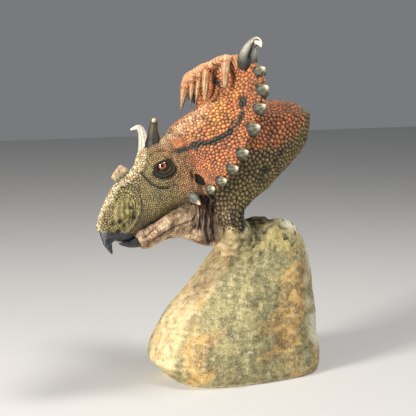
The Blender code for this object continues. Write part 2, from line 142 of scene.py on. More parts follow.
def joined(names, grow):
    """One mesh of several nodes, and which node each of its faces came from."""
    whole = bmesh.new()
    source = []
    for index, name in enumerate(names):
        bm = welded(name, grow)
        part = bpy.data.meshes.new(name + "_copy")
        bm.to_mesh(part)
        bm.free()
        whole.from_mesh(part)
        source += [index] * len(part.polygons)
        bpy.data.meshes.remove(part)
    return whole, np.array(source)


def remeshed(name, bm, voxel):
    """The outer surface of a mesh, laid out again in even squares."""
    mesh = bpy.data.meshes.new(name)
    bm.to_mesh(mesh)
    obj = bpy.data.objects.new(name, mesh)
    bpy.context.scene.collection.objects.link(obj)
    modifier = obj.modifiers.new("even squares", "REMESH")
    modifier.mode = "VOXEL"
    modifier.voxel_size = voxel * MM
    evaluated = obj.evaluated_get(bpy.context.evaluated_depsgraph_get())
    even = bpy.data.meshes.new_from_object(evaluated)
    obj.modifiers.clear()
    obj.data = even
    bpy.data.meshes.remove(mesh)
    return obj


print("solids that make the skin:", ", ".join(SKIN_NODES))

# %% [markdown]
# Sculpting by numbers takes all points at once. These helpers read places and normals into arrays, write
# places back, and even out values along the edges, which is what a Smooth brush does.

# %% Points in, points out
def places(mesh):
    """Vertex places in millimetres."""
    flat = np.empty(len(mesh.vertices) * 3)
    mesh.vertices.foreach_get("co", flat)
    return flat.reshape(-1, 3) / MM


def directions(mesh):
    """Vertex normals."""
    flat = np.empty(len(mesh.vertices) * 3)
    mesh.vertex_normals.foreach_get("vector", flat)
    return flat.reshape(-1, 3)


def move_to(mesh, points):
    """Puts the vertices at these places, in millimetres."""
    mesh.vertices.foreach_set("co", (points * MM).astype(np.float32).ravel())
    mesh.update()


def edge_ends(mesh):
    """The two vertices of every edge."""
    ends = np.empty(len(mesh.edges) * 2, np.int32)
    mesh.edges.foreach_get("vertices", ends)
    return ends.reshape(-1, 2)


def neighbour_mean(values, ends):
    """Each vertex's mean over its neighbours."""
    count = np.bincount(ends.ravel(), minlength=len(values))
    columns = values.reshape(len(values), -1)
    total = np.empty_like(columns, float)
    for i in range(columns.shape[1]):
        column = columns[:, i]
        total[:, i] = np.bincount(ends[:, 0], column[ends[:, 1]], len(values))
        total[:, i] += np.bincount(ends[:, 1], column[ends[:, 0]], len(values))
    return (total / np.maximum(count, 1)[:, None]).reshape(values.shape)


def relaxed(values, ends, rounds, share=0.5):
    """Values evened out over the surface."""
    for _ in range(rounds):
        values = values + share * (neighbour_mean(values, ends) - values)
    return values


print("points can be read, moved and evened out")

# %% [markdown]
# With these the blank is joined and remeshed. Its faces are kept in a search tree, because the remesh
# forgets which solid they came from.

# %% Skin remeshed
blank, face_source = joined(SKIN_NODES, GROW)
source_tree = BVHTree.FromBMesh(blank)
skin = remeshed("skin", blank, VOXEL)
blank.free()
print("skin blank:", len(skin.data.vertices), "vertices")

# %% [markdown]
# The scales of the face are about half as wide as those of the frill. A finer voxel everywhere would
# cost four times the points. So only the squares of the face are cut in four, and a few rounds of
# smoothing hide the border.

# %% Finer squares on the face
points = places(skin.data)
head_places = in_head(points)
fine = (head_places[:, 0] > -34) & (head_places[:, 2] > -100 - 0.4 * head_places[:, 0]) & (points[:, 0] < -45)
bm = bmesh.new()
bm.from_mesh(skin.data)
bm.verts.ensure_lookup_table()
bm.verts.index_update()
chosen = [e for e in bm.edges if fine[e.verts[0].index] and fine[e.verts[1].index]]
bmesh.ops.subdivide_edges(bm, edges=chosen, cuts=1, use_grid_fill=True)
bm.to_mesh(skin.data)
bm.free()
skin.data.update()
ends = edge_ends(skin.data)
points = relaxed(places(skin.data), ends, 4)
move_to(skin.data, points)
points = points - directions(skin.data) * GROW
move_to(skin.data, points)
print("skin with finer face:", len(points), "vertices")

# %% [markdown]
# Paint and scale size follow the anatomy: neck, frill, jaw, face. The remesh forgot which solid each
# point came from, so the nearest face of the blank tells it. Evening the answer out along the edges
# gives soft borders, as an airbrush would.

# %% Which solid each point of the skin came from
origin = np.array([face_source[source_tree.find_nearest(Vector(p) * MM)[2]] for p in points])
head_places = in_head(points)
mirrored = head_places * (1, 0, 1) + np.abs(head_places) * (0, 1, 0)
normals = directions(skin.data)


def share_of(*names):
    """How much of each point belongs to these nodes, with the borders evened out."""
    mask = np.isin(origin, [SKIN_NODES.index(name) for name in names]).astype(float)
    return relaxed(mask, ends, 6)


on_neck = share_of("neck")
on_frill = share_of("frill")
on_jaw = share_of("lower_jaw")
print("points of the neck, frill and jaw:", [int(m.sum()) for m in (on_neck, on_frill, on_jaw)])

# %% [markdown]
# The hide is thousands of little scales sculpted edge to edge. Separate scale meshes would never close
# up like that. So seeds are thrown on the surface, no closer together than 0.8 of a scale's width, and
# evened out once. The size grows from about 2 mm on the face to 4 mm on the neck, as in the photo.

# %% Scale seeds
# Widths of a scale in millimetres: on the face, and how much more on the frill and the neck.
FACE_SCALE, FRILL_MORE, NECK_MORE = 2.0, 1.7, 2.3
CLOSEST = 0.8


def throw_seeds(points, pitch, seed):
    """Picks points in random order, with a gap of CLOSEST times the pitch round each of them."""
    tree = KDTree(len(points))
    for index, point in enumerate(points):
        tree.insert(point, index)
    tree.balance()
    free = np.ones(len(points), bool)
    picked = []
    for index in np.random.default_rng(seed).permutation(len(points)):
        if free[index]:
            picked.append(index)
            for _, other, _ in tree.find_range(points[index], pitch[index] * CLOSEST):
                free[other] = False
    return np.array(picked)


def seed_tree(places_of_seeds):
    """A tree that finds the nearest seeds."""
    tree = KDTree(len(places_of_seeds))
    for index, place in enumerate(places_of_seeds):
        tree.insert(place, index)
    tree.balance()
    return tree


def evened(points, seeds):
    """Moves each seed to the middle of the points that are nearest to it."""
    tree = seed_tree(seeds)
    own = np.array([tree.find(point)[1] for point in points])
    count = np.maximum(np.bincount(own, minlength=len(seeds)), 1)
    return np.stack([np.bincount(own, points[:, i], len(seeds)) / count for i in range(3)], 1)


fore, left, up = mirrored.T
pitch = np.full(len(points), FACE_SCALE)
pitch += FRILL_MORE * np.maximum(on_frill * step(-28, -52, fore), 0)
pitch += NECK_MORE * on_neck * step(-62, -48, points[:, 0] - 0.12 * (points[:, 2] - 180))
pitch += 0.5 * np.maximum(on_frill * step(-28, -52, fore), on_neck) * wander(points, 8, 38)
pitch -= 0.3 * step(30, 44, fore) * (1 - on_neck)
pitch += 0.7 * (1 - on_neck) * (1 - on_frill) * step(15, 11, left) * step(-8, -2, up + 0.35 * fore)
seeds = points[throw_seeds(points, pitch, 11)]
seeds = evened(points, seeds)
print("scales on the whole hide:", len(seeds))

# %% [markdown]
# Each point now looks for its own seed and the next one. Where the two are equally far away there is a
# groove, and over each seed there is a low dome. The lean makes each scale stand out more at its lower
# edge, like a shingle. Each scale also gets its own chance shade and height.

# %% Own scale and next scale of every point
tree = seed_tree(seeds)
found = [tree.find_n(point, 2) for point in points]
own_scale = np.array([pair[0][1] for pair in found])
own_distance = np.array([pair[0][2] for pair in found])
next_distance = np.array([pair[1][2] for pair in found])
gap = (next_distance - own_distance) / pitch
dome = 0.45 * (1 - np.clip(own_distance / (0.62 * pitch), 0, 1) ** 2) + 0.55 * step(0.0, 0.55, gap)
groove = 1 - step(0.0, 0.3, gap)
chance = np.random.default_rng(12)
scale_tint = chance.uniform(-1, 1, len(seeds))[own_scale]
scale_lift = chance.uniform(0, 1, len(seeds))[own_scale]
offset = points - seeds[own_scale]
lean = offset @ np.array((-0.25, -0.2, -0.95)) / pitch
print("share of the hide in grooves:", round(float(groove.mean()), 2))

# %% [markdown]
# A row of eight blunt studs runs along each side of the frill, larger toward the top. Their places were
# read off the photo into the head's frame. The table comes before the relief, because the hide is
# pushed in under each stud and swells a little round its root.

# %% Studs of the frill's rim
# Place and direction in the head's frame, then length and radius in millimetres.
STUDS = (
    ((-24.5, 43.2, -43.7), (-0.2, 0.96, -0.19), 5.0, 4.6),
    ((-36.3, 48.7, -42.2), (-0.31, 0.92, -0.25), 6.0, 5.0),
    ((-50.9, 53.8, -37.5), (-0.4, 0.89, -0.24), 6.5, 5.4),
    ((-67.0, 58.4, -29.1), (-0.45, 0.88, -0.17), 7.0, 5.6),
    ((-89.0, 64.0, -14.0), (-0.49, 0.87, -0.07), 8.0, 6.6),
    ((-106.6, 66.2, 0.5), (-0.5, 0.86, 0.01), 7.5, 6.0),
    ((-120.7, 67.1, 15.0), (-0.49, 0.87, 0.06), 7.0, 7.0),
    ((-130.4, 65.9, 33.1), (-0.44, 0.89, 0.1), 6.5, 6.2),
)
print("studs on each side:", len(STUDS))

# %% [markdown]
# Next come forms too large for the scales. They could be painted with sculpt brushes. A path and a
# width per fold does the same in a way that can be changed later: the mark is 1 on the path and fades
# out beside it, and it is added to or taken from a height for each point.

# %% Large forms
def line(path, width, where=None):
    """1 on a path in the head's frame, falling to 0 at this many millimetres; the same on both sides."""
    distance, _ = near_path(mirrored, path)
    mark = np.exp(-((distance / width) ** 2))
    return mark if where is None else mark * where


face = 1 - np.clip(on_neck + on_frill + on_jaw, 0, 1)
lift = np.zeros(len(points))
print("points of the face:", int(face.sum()))

# %% [markdown]
# The nose of this animal is a large oval hollow with folded rings behind it and lumpy, ribbed skin
# inside, pierced by dark pits. Two turned axes give a distance in ovals. A cosine of that distance
# makes the rings, and small round pits go where the photo shows them.

# %% Opening of the nose
NOSE_LONG, NOSE_WIDE = 27, 15.5
nose_length = (fore - 54) * 0.753 - (up + 19) * 0.658
nose_width = (fore - 54) * 0.658 + (up + 19) * 0.753
ring = np.hypot(nose_length / NOSE_LONG, (nose_width - 1) / NOSE_WIDE)
rear = step(0.35, -0.25, nose_length / NOSE_LONG - 0.3 * nose_width / NOSE_WIDE)
muzzle = face * step(3, 7, left) * step(24, 34, fore)
in_naris = muzzle * (1 - step(0.86, 1.0, ring))
ring_waves = np.cos((ring - 1.02) * 2 * np.pi / 0.17)
ring_band = step(0.52, 0.66, ring) * (1 - step(1.1, 1.25, ring))
lift += muzzle * rear * 0.55 * ring_waves * ring_band
lift += muzzle * 0.8 * np.exp(-(((ring - 1.0) / 0.09) ** 2))
lift -= 1.2 * in_naris
inner = muzzle * (1 - step(0.5, 0.62, ring))
ribs = np.cos((fore * 0.83 + up * 0.55 + 0.6 * np.sin(up * 0.4)) * 2 * np.pi / 5.2)
middle = step(-2, -12, up) * step(0.62, 0.3, ring)
lift += inner * (1.2 + 0.55 * ribs * middle + 0.5 * wander(points, 4.5, 17))
ring_marks = muzzle * rear * step(0.2, 0.9, -ring_waves) * ring_band
nostrils = (
    ((64, 15, -27), 2.0), ((68, 9, -34), 1.9), ((62, 14, -33), 1.5),
    ((49.5, 17, -30), 1.9), ((47, 17, -20), 1.6), ((71, 11, -25), 2.4),
)
pits = np.zeros(len(points))
for place, size in nostrils:
    pits += np.exp(-((np.linalg.norm(mirrored - place, axis=1) / (size * 1.35)) ** 2))
lift -= 1.5 * np.clip(pits, 0, 1)
print("deepest place of the nose in mm:", lift.min().round(2))

# %% [markdown]
# The ball of the eye sits between thick lids, with rings of loose skin below and a deep crease under
# them. All of it hangs on the direction of gaze: across and rise measure the lids on the plane that
# faces it, and the lens between the lids is sunk so that the separate ball shows.

# %% Eye socket, lids and the crease below
GAZE = np.array((0.45, 0.89, 0.06))
GAZE /= np.linalg.norm(GAZE)
from_eye = mirrored - EYE
ahead = from_eye @ GAZE
side_axis = np.cross(GAZE, (0, 0, 1))
side_axis /= np.linalg.norm(side_axis)
rise_axis = np.cross(side_axis, GAZE)
across_eye = from_eye @ side_axis
rise = from_eye @ rise_axis
near_eye = step(-4, 2, ahead) * (np.linalg.norm(from_eye, axis=1) < 26)
EYE_HALF_WIDTH, EYE_HALF_HEIGHT = 5.6, 2.7
lens_height = EYE_HALF_HEIGHT * np.sqrt(np.clip(1 - (across_eye / EYE_HALF_WIDTH) ** 2, 0, 1))
in_lens = near_eye * (np.abs(across_eye) < EYE_HALF_WIDTH)
in_lens = in_lens * step(0.6, -0.1, np.abs(rise + 0.3) - lens_height)
socket = np.hypot((across_eye + 0.6) / 13.2, (rise + 3.2) / np.where(rise > -3.2, 9.8, 12.6))
socket += 0.09 * wander(points, 5, 39)
rings = np.cos((socket - 0.62) * 2 * np.pi / 0.25)
lower = step(3, -2, rise)
lift += near_eye * lower * 0.36 * rings * step(0.45, 0.6, socket) * (1 - step(1.25, 1.5, socket))
lift -= near_eye * 1.3 * np.exp(-(((socket - 0.86) / 0.16) ** 2)) * (0.5 + 0.5 * step(-2, 4, rise))
brow_lid = np.hypot(across_eye / 7.5, (rise - 4.2) / 2.0)
lift += near_eye * 1.3 * np.exp(-(brow_lid**2))
lid_distance = np.maximum(np.hypot(across_eye / 5.9, (rise - 0.2) / 3.6) - 1, 0)
lid = near_eye * (1 - in_lens) * np.exp(-((lid_distance / 0.35) ** 2))
lift += 0.9 * lid
UNDER_EYE = ((17, 8, 6), (15, 11, 4), (16, 15, -3), (16, 19, -10), (12, 23, -18), (5, 26, -22))
under_eye = line(UNDER_EYE, 1.1, 1 - on_jaw)
lift -= 1.3 * under_eye
BESIDE_CREASE = ((13, 12, 4), (12.5, 16, -2), (12, 20, -9), (8, 24, -16), (0, 27, -20))
lift += 0.8 * line(BESIDE_CREASE, 2.2, 1 - on_jaw)
brow_fold = line(((8, 12, 12), (0, 17, 15), (-6, 20, 15), (-13, 24, 12), (-19, 27, 6)), 1.2, face)
lift -= 0.9 * brow_fold
lift += 1.0 * line(((7, 13, 8.5), (1, 19, 10.5), (-6, 23, 11), (-13, 26.5, 7)), 2.4, face)
print("points round the eyes:", int((near_eye > 0.5).sum()))

# %% [markdown]
# A pale, knobbly ridge runs from the brow horns down to the nose. Its edge wanders from side to side,
# so it is a width that changes along the head, with a line of knobs on the edge.

# %% Ridge from the brow to the nose
ridge_edge = np.interp(fore, (-20, -6, 8, 18, 30, 41, 52, 63, 80), (11, 12, 13.5, 9.5, 7, 5, 6.5, 6.5, 3.4))
skyward = normals @ HEAD_AXES[:, 2]
ridge = step(ridge_edge + 1.6, ridge_edge - 1.2, left + 0.5 * wander(points, 5, 3))
ridge = ridge * (1 - on_neck) * (1 - on_jaw) * step(-34, -16, fore)
ridge *= np.maximum(step(-0.1, 0.25, skyward), step(60, 70, fore))
ridge_line = ((-12, 12, 21), (-3, 13.5, 18), (3, 14.5, 13), (8, 14, 9), (18, 10.5, 3.5), (30, 7.5, 3),
              (41, 5.5, 1.5), (52, 6.5, -3), (63, 7, -10), (72, 6.5, -16), (80, 3, -21))
lift += 0.5 * ridge + line(ridge_line, 2.0, face) * (0.9 + 0.7 * wander(points, 3.4, 4))
print("points of the ridge:", int((ridge > 0.5).sum()))

# %% [markdown]
# The mouth is a long wavy groove. Below it the lip, a pale fold and creases spread like a fan toward
# the throat. The soft skin has faint scales and fine lines along it, which stretched noise gives.

# %% Mouth and folds of the jaw
MOUTH = (
    (53, 8, -43), (50, 8.5, -42.5), (41, 10, -43), (28, 13, -43), (20, 15, -42),
    (12, 17, -41), (4, 19, -41), (-3, 21, -43.5), (-10, 24, -46),
)
mouth = line(MOUTH, 1.2)
lift -= 1.1 * mouth
jaw_lines = (
    ((46, 9, -52), (37, 12, -50), (26, 14, -48), (16, 17.5, -47), (6, 20.5, -48)),
    ((40, 10, -58), (30, 12, -58), (13, 18, -59), (-2, 21, -61), (-9, 23, -58)),
    ((34, 6, -63), (20, 8, -66), (8, 12, -68), (-3, 15, -70), (-9, 20, -64)),
    ((8, 6, -72), (-2, 11, -76), (-8, 17, -71), (-12, 22, -62)),
)
jaw_skin = np.clip(on_jaw * 1.4, 0, 1)
jaw_creases = sum(line(path, 1.3) for path in jaw_lines) * jaw_skin
lift -= 1.0 * jaw_creases
PALE_FOLD = ((47, 9.5, -55), (38, 11.5, -54.5), (28, 14, -53), (16, 18.5, -51.5), (4, 22, -51))
lift += 1.5 * line(PALE_FOLD, 2.6, on_jaw)
fan = (
    ((-8, 21, -53), (4, 16, -61), (20, 9, -65)), ((-9, 21, -54), (1, 14, -65), (12, 7, -70)),
    ((-10, 21, -55), (-3, 16, -67), (4, 6, -74)), ((-12, 22, -56), (-8, 18, -68), (-6, 8, -78)),
)
fan_lines = sum(line(path, 0.9) for path in fan) * jaw_skin
lift -= 0.9 * fan_lines
jaw_creases = np.clip(jaw_creases + 0.8 * fan_lines, 0, 1)
stretched = head_places * (1.0, 0.35, 0.3)
striation = wander(stretched, 1.5, 6) + 0.5 * wander(stretched, 3.2, 13)
lift += on_jaw * (0.28 * striation + 0.6 * wander(points, 8, 7))
print("points of the jaw's creases:", int((jaw_creases > 0.5).sum()))

# %% [markdown]
# Under the ear, deep upright folds hang where the jaw meets the neck. They are paths too, deeper and
# wider ones, with a ripple between them.

# %% Folds of the throat
throat_zone = step(-44, -52, points[:, 0] - 0.10 * (points[:, 2] - 160) + 1.5 * wander(points, 9, 15))
throat_zone *= step(214, 196, points[:, 2]) * np.clip(on_neck + on_jaw * step(-4, -14, fore), 0, 1)
throat_lines = (
    (((-31, 17, -44), (-32, 15, -52), (-18, 21, -64), (-13, 15, -77), (-14, 4, -92)), 1.9),
    (((-36, 19, -46), (-37, 17, -56), (-31, 16, -63), (-21, 17, -76), (-20, 7, -90)), 2.1),
    (((-20, 22, -50), (-14, 23, -56), (-11, 20.5, -63), (-9, 18, -70), (-8, 12, -80), (-9, 4, -88)), 1.0),
    (((-27, 18, -56), (-24, 20, -66), (-17, 16, -80), (-17, 5, -92)), 0.9),
)
throat_folds = sum(line(path, width) * (0.5 + 0.25 * width) for path, width in throat_lines)
throat_folds = np.clip(throat_folds, 0, 1.2) * np.clip(on_neck + on_jaw, 0, 1)
lift -= 1.7 * throat_folds
lift += 0.35 * throat_zone * np.sin(points[:, 0] * 2.1 + 2.0 * wander(points, 16, 16))
print("points of the throat:", int((throat_zone > 0.5).sum()))

# %% [markdown]
# The ear is a dark slot behind the cheek. Slow swells keep the frill and neck from looking turned on a
# lathe. Low on the neck the hide goes under the skin of the rock, so that the two meet cleanly.

# %% Ear, slow swells and the seats of the studs
ear_distance = np.linalg.norm((mirrored - (-24.5, 34, -30)) / (3.4, 8, 8.0), axis=1)
ear = step(1.12, 0.82, ear_distance + 0.1 * wander(points, 5, 19))
lift -= 3.4 * ear
lift += on_frill * 0.8 * wander(points, 26, 8) + on_neck * 0.9 * wander(points, 30, 9)
low_neck = on_neck * step(152, 140, points[:, 2] + 4 * wander(points, 9, 18))
lift -= 2.2 * on_neck * step(150, 142, points[:, 2])
for place, way, length, radius in STUDS:
    place, way = np.array(place), np.array(way)
    reach = (mirrored - place) @ way
    out_of_axis = np.linalg.norm(mirrored - place - reach[:, None] * way, axis=1)
    lift -= 1.7 * step(radius * 1.05, radius * 0.75, out_of_axis) * (reach > -2) * (reach < length + 3)
    lift += 0.7 * on_frill * np.exp(-(((out_of_axis - radius * 1.35) / 1.6) ** 2)) * (np.abs(reach) < 5)
print("large forms, deepest and highest in mm:", lift.min().round(2), lift.max().round(2))

# %% [markdown]
# Along the top edge of the frill a thick roll of horn spills over in five hooks. They are part of the
# solid already. Here they get fibres, across the roll and along each hook. Three masks keep the roll
# with its hooks, the sandy part of the hooks and their brown tips.

# %% Paths of the hooks
# Both sides differ, so these paths are in the head's frame and aren't mirrored.
HOOK_PATHS = (
    ((-126, 37, 59), (-121.5, 38, 63), (-115.4, 41, 56.3), (-107.4, 43, 47.3), (-100.1, 43, 37.4)),
    ((-125.5, 17, 64), (-117, 15.5, 65.5), (-108.8, 13.2, 60.5), (-101.8, 12, 51), (-91.1, 12, 36.8)),
    ((-121, -4, 66), (-113.5, -6, 64.5), (-107.8, -7, 57.6), (-102, -8.3, 50.3), (-90.5, -9, 37.4)),
    ((-121, -19, 67), (-114.5, -21, 66), (-108.6, -21.5, 59.3), (-103.5, -22, 53.2), (-93.2, -22, 40.1)),
    (
        (-122.5, -36, 66), (-116.5, -40.5, 66.5), (-111.5, -42.5, 61),
        (-106.2, -44.2, 55.4), (-92.9, -46, 40.7),
    ),
)
HOOK_RADII = (
    (5.5, 6.0, 4.8, 2.9, 0.8),
    (6.0, 6.2, 5.0, 3.2, 0.8),
    (4.5, 3.4, 2.6, 2.0, 0.7),
    (4.5, 3.6, 2.7, 2.1, 0.7),
    (5.5, 5.0, 4.0, 2.9, 0.7),
)
MARGIN_ROLL = (
    (-125, 41, 59.5), (-124, 36, 62.8), (-124, 24, 65.7), (-121.5, 12, 66.3), (-119.5, -4, 68.5),
    (-119, -20, 68.7), (-119.5, -32, 68.7), (-120.5, -40, 67), (-123.5, -46, 62.5),
)
print("hooks:", len(HOOK_PATHS))

# %% [markdown]
# Each hook is found by its distance to its own path. The fibres round it use the angle about that path,
# so they run along the hook and not across it.

# %% Hooks of the frill
horn_paint = np.zeros(len(points))
hook_end = np.zeros(len(points))
strands = np.zeros(len(points))
hook_fibres = np.zeros(len(points))
for path, radii in zip(HOOK_PATHS, HOOK_RADII):
    distance, along = near_path(head_places, path)
    thick = np.interp(along, np.linspace(0, 1, 5), radii)
    on_hook = step(thick + 3.0, thick + 1.0, distance) * step(0.28, 0.4, along)
    corners = np.array(path)
    lengths = np.concatenate([[0], np.cumsum(np.linalg.norm(np.diff(corners, axis=0), axis=1))])
    axis_place = np.stack([np.interp(along * lengths[-1], lengths, corners[:, i]) for i in range(3)], 1)
    off_axis = head_places - axis_place
    around = np.arctan2(off_axis[:, 1], off_axis @ (0.8, 0, 0.6))
    mine = on_hook > strands
    hook_fibres[mine] = (0.75 * np.cos(5 * around + 6 * along) + 0.35 * np.cos(9 * around))[mine]
    strands = np.maximum(strands, on_hook)
    sandy = on_hook * step(0.30, 0.52, along + 0.07 * wander(points, 5, 21))
    horn_paint = np.maximum(horn_paint, sandy)
    brown = 0.3 + 0.6 * (path[0][1] < 0)
    brown_end = brown * on_hook * step(0.6, 0.95, along + 0.08 * wander(points, 4, 25))
    hook_end = np.maximum(hook_end, brown_end)
roll_distance, _ = near_path(head_places, MARGIN_ROLL)
hood = on_frill * step(12.5, 8.5, roll_distance + 0.8 * wander(points, 6, 22))
hood = np.clip(np.maximum(hood, strands), 0, 1)
fibre_way = head_places[:, 1] + 2.6 * wander(points, 11, 23) + 0.5 * wander(points, 3.5, 24)
fibres = np.cos(fibre_way * 2 * np.pi / 5.2) + 0.5 * np.cos(fibre_way * 2 * np.pi / 2.5 + 1)
fibres *= np.clip(0.75 + 0.55 * wander(points, 12, 26), 0.15, 1.3)
fibres = fibres * (1 - strands) + hook_fibres * strands
lift += hood * (0.55 - 0.33 * strands) * fibres
print("points on the hooks:", int((horn_paint > 0.5).sum()))

# %% [markdown]
# Now the heights are added along the normals. Where there are folds, horn or bare skin, the scales are
# faded. Real relief, not only a bump, lets the outline and the shadows show every scale.

# %% Scale relief
soft = np.ones(len(points))
around_eye = near_eye * (1 - step(0.7, 1.0, socket))
hanging = 0.8 * np.maximum(throat_zone, 0)
for bare in (hood, hanging, 0.6 * on_jaw, 0.55 * inner, 0.5 * around_eye, in_lens, low_neck):
    soft *= 1 - bare
soft = np.clip(soft, 0, 1)
big = step(2.4, 3.4, pitch)
tall = 0.22 + 0.10 * big + 0.04 * ridge
scale_shape = tall * dome - 0.09 * groove + 0.07 * (scale_lift - 0.5) + 0.26 * big * lean * (1 - groove)
scales_up = soft * pitch * scale_shape
lift_all = lift + scales_up - 3.0 * in_lens
points = points + normals * lift_all[:, None]
move_to(skin.data, points)
print("hide relief in mm:", scales_up.min().round(2), scales_up.max().round(2))

# %% [markdown]
# A model painter lets dark wash run into the low places and brushes light paint over the high ones. To
# know them, the finished surface is compared with itself smoothed a little and smoothed a lot.

# %% Hollows and crests, from the finished shape
normals = directions(skin.data)
even_fine = relaxed(points, ends, 5)
even_wide = relaxed(even_fine, ends, 22)
cavity = step(0.0, 0.16, ((even_fine - points) * normals).sum(1))
depth = ((even_wide - even_fine) * normals).sum(1)
crest = step(0.0, 0.3, -depth)
hollow = step(0.05, 0.55, depth)
print("mean hollow and crest:", hollow.mean().round(3), crest.mean().round(3))

# %% [markdown]
# The colours of the hide: olive face and neck, orange frill and upper neck. Each zone is a mask from 0
# to 1 on the points, with noise in its border, so that it can follow the anatomy exactly and still
# look airbrushed.

# %% Paint masks
blot = wander(points, 9, 31)
edge_noise = wander(points, 5, 32) + 0.5 * wander(points, 2.4, 33)
x, y, z = points.T
skull = (1 - on_neck) * (1 - on_jaw)
orange = on_frill * step(-10, -28, fore + 3.0 * edge_noise)
orange = np.maximum(orange, skull * step(-9, -25, fore + 3.0 * edge_noise) * step(5, 12, up + 0.2 * fore + 8))
orange = np.maximum(orange, (1 - on_neck) * step(-25, -33, fore + 2.5 * edge_noise) * step(-24, -14, up))
orange = np.maximum(orange, 0.36 * face * step(10, -16, fore + 3 * edge_noise) * step(-46, -32, up))
border = 226 + np.clip(x - 19, 0, 60) * 0.56
orange_neck = on_neck * step(-6, 10, z - border + 3.5 * edge_noise) * step(64, 48, x + 4 * edge_noise)
orange = np.clip(orange + orange_neck * (1 - on_frill), 0, 1)
print("points in orange:", int((orange > 0.5).sum()))

# %% [markdown]
# The orange isn't even. It turns yellow down the middle of the frill and pale pink in the hollow near its
# front, partly pink paint and partly painted highlight, and cream paint runs from the ridge over the crown.

# %% Zones inside the orange, and the pale crown
YOLK_PATH = ((-52, 30, 16), (-66, 36, 15), (-84, 38, 22), (-104, 36, 30))
yolk = line(YOLK_PATH, 15, on_frill) * step(-1.2, 0.3, blot)
# Pale pink in the hollow near the front of the frill: pink paint with painted highlight.
pink_and_painted_highlight = line(((-46, 18, 25), (-58, 24, 26), (-76, 20, 33)), 11, on_frill)
pale = np.clip(ridge * step(-30, -14, fore), 0, 1)
skyward = normals @ HEAD_AXES[:, 2]
crown_pale = (1 - on_neck) * step(-10, -16, fore) * step(-56, -26, fore)
crown_pale = crown_pale * step(0, 0.5, skyward) * step(26, 16, left)
pale = np.maximum(pale, 0.9 * crown_pale)
print("points in cream:", int((pale > 0.5).sum()))

# %% [markdown]
# A blackish stripe swings from behind the eye up across the frill, with broken patches beside the hooks
# and dark spots where the neck meets the rock. Noise in the threshold gives the ragged edges of a
# brush.

# %% Dark stripe and dark patches
STRIPE = (
    (-20, 27, 7), (-28, 30, 4), (-37, 30, 3), (-46, 35, 0.5),
    (-58, 41, -4.5), (-74, 46, -4), (-88, 50, 0), (-96, 52, 6),
)
stripe = step(0.2, 0.85, line(STRIPE, 4.2) + 0.28 * edge_noise) * step(-17, -24, fore)
patches = line(((-117, 46, 33), (-112, 49, 24), (-106, 50, 15), (-96, 51, 5)), 5.5) * step(0.3, -0.6, blot)
patches += line(((-117, 12, 49), (-104, 22, 38), (-90, 28, 30)), 5.0) * step(1.3, -0.2, blot)
patches += 0.9 * line(((-88, 2, 31), (-76, 8, 31), (-66, 12, 31)), 5.0) * step(0.2, -0.7, blot)
patches = step(0.3, 0.8, patches + 0.12 * edge_noise)
stripe = np.clip(stripe + patches, 0, 1) * (1 - on_neck) * (1 - horn_paint)
neck_flank = 0.899 * x - 0.438 * y
ragged = step(-0.55, 0.15, wander(points * (1, 1, 0.5), 4.5, 36))
neck_spots = on_neck * step(174, 162, z + 5 * blot) * step(-14, -2, neck_flank) * ragged
nape_spots = 0.9 * on_neck * step(0.75, 1.0, wander(points, 7, 37)) * step(-10, 10, x) * step(240, 225, z)
neck_spots = np.maximum(neck_spots, nape_spots)
stripe = np.maximum(stripe, neck_spots)
print("points in the dark stripe and patches:", int((stripe > 0.5).sum()))

# %% [markdown]
# The jaw is flesh coloured, the throat brown with pale cords, the creases nearly black, and so are the
# lids and the ear.

# %% Jaw, throat, creases and the skin round the eye
rear_lip = line(((14, 18, -44), (4, 21, -46), (-6, 22, -48)), 5.0, on_jaw)
lip = line(((50, 9, -46), (28, 14, -46), (4, 20, -45)), 2.0)
flesh = (1 - 0.75 * rear_lip) * np.clip(on_jaw + 0.5 * lip, 0, 1) * step(1.0, -1.0, up + 43.5)
strand_zone = on_neck * step(-22, -32, x + 2 * wander(points, 7, 34)) * step(182, 164, z)
throat = np.maximum(throat_zone, strand_zone)
strand_lines = np.cos((x + 0.35 * (z - 150) + 1.2 * wander(points, 9, 35)) * 2 * np.pi / 3.4)
creases = 0.8 * under_eye + 1.0 * mouth + 0.45 * brow_fold + 0.6 * jaw_creases
creases = creases + 1.1 * np.clip(pits, 0, 1) * muzzle + 0.4 * ring_marks + 1.2 * ear
creases = creases + 0.95 * throat_folds + 0.45 * hollow + 0.4 * on_jaw * step(0.1, 0.9, -striation)
creases = np.clip(creases, 0, 1)
dark_lid = near_eye * (1 - step(0.84, 1.0, socket + 0.05 * blot))
ear_tail = 0.85 * line(((-23, 34, -34), (-20, 35, -38), (-19, 37, -42), (-18, 33, -42)), 3.6)
dark_skin = np.clip(np.maximum(np.maximum(dark_lid, 1.3 * ear), ear_tail), 0, 1)
fold_light = dark_lid * step(0.2, 1.0, rings) * step(0, -3, rise)
print("points in dark skin:", int((dark_skin > 0.5).sum()))

# %% [markdown]
# Every mask is stored on the points as an attribute. A material can then read it by name, and no
# picture is needed.

# %% Masks kept on the hide
def store(mesh, **marks):
    """Keeps masks on the points of a mesh for its material to read."""
    for name, values in marks.items():
        layer = mesh.attributes.new(name, "FLOAT", "POINT")
        layer.data.foreach_set("value", np.ascontiguousarray(values, np.float32))


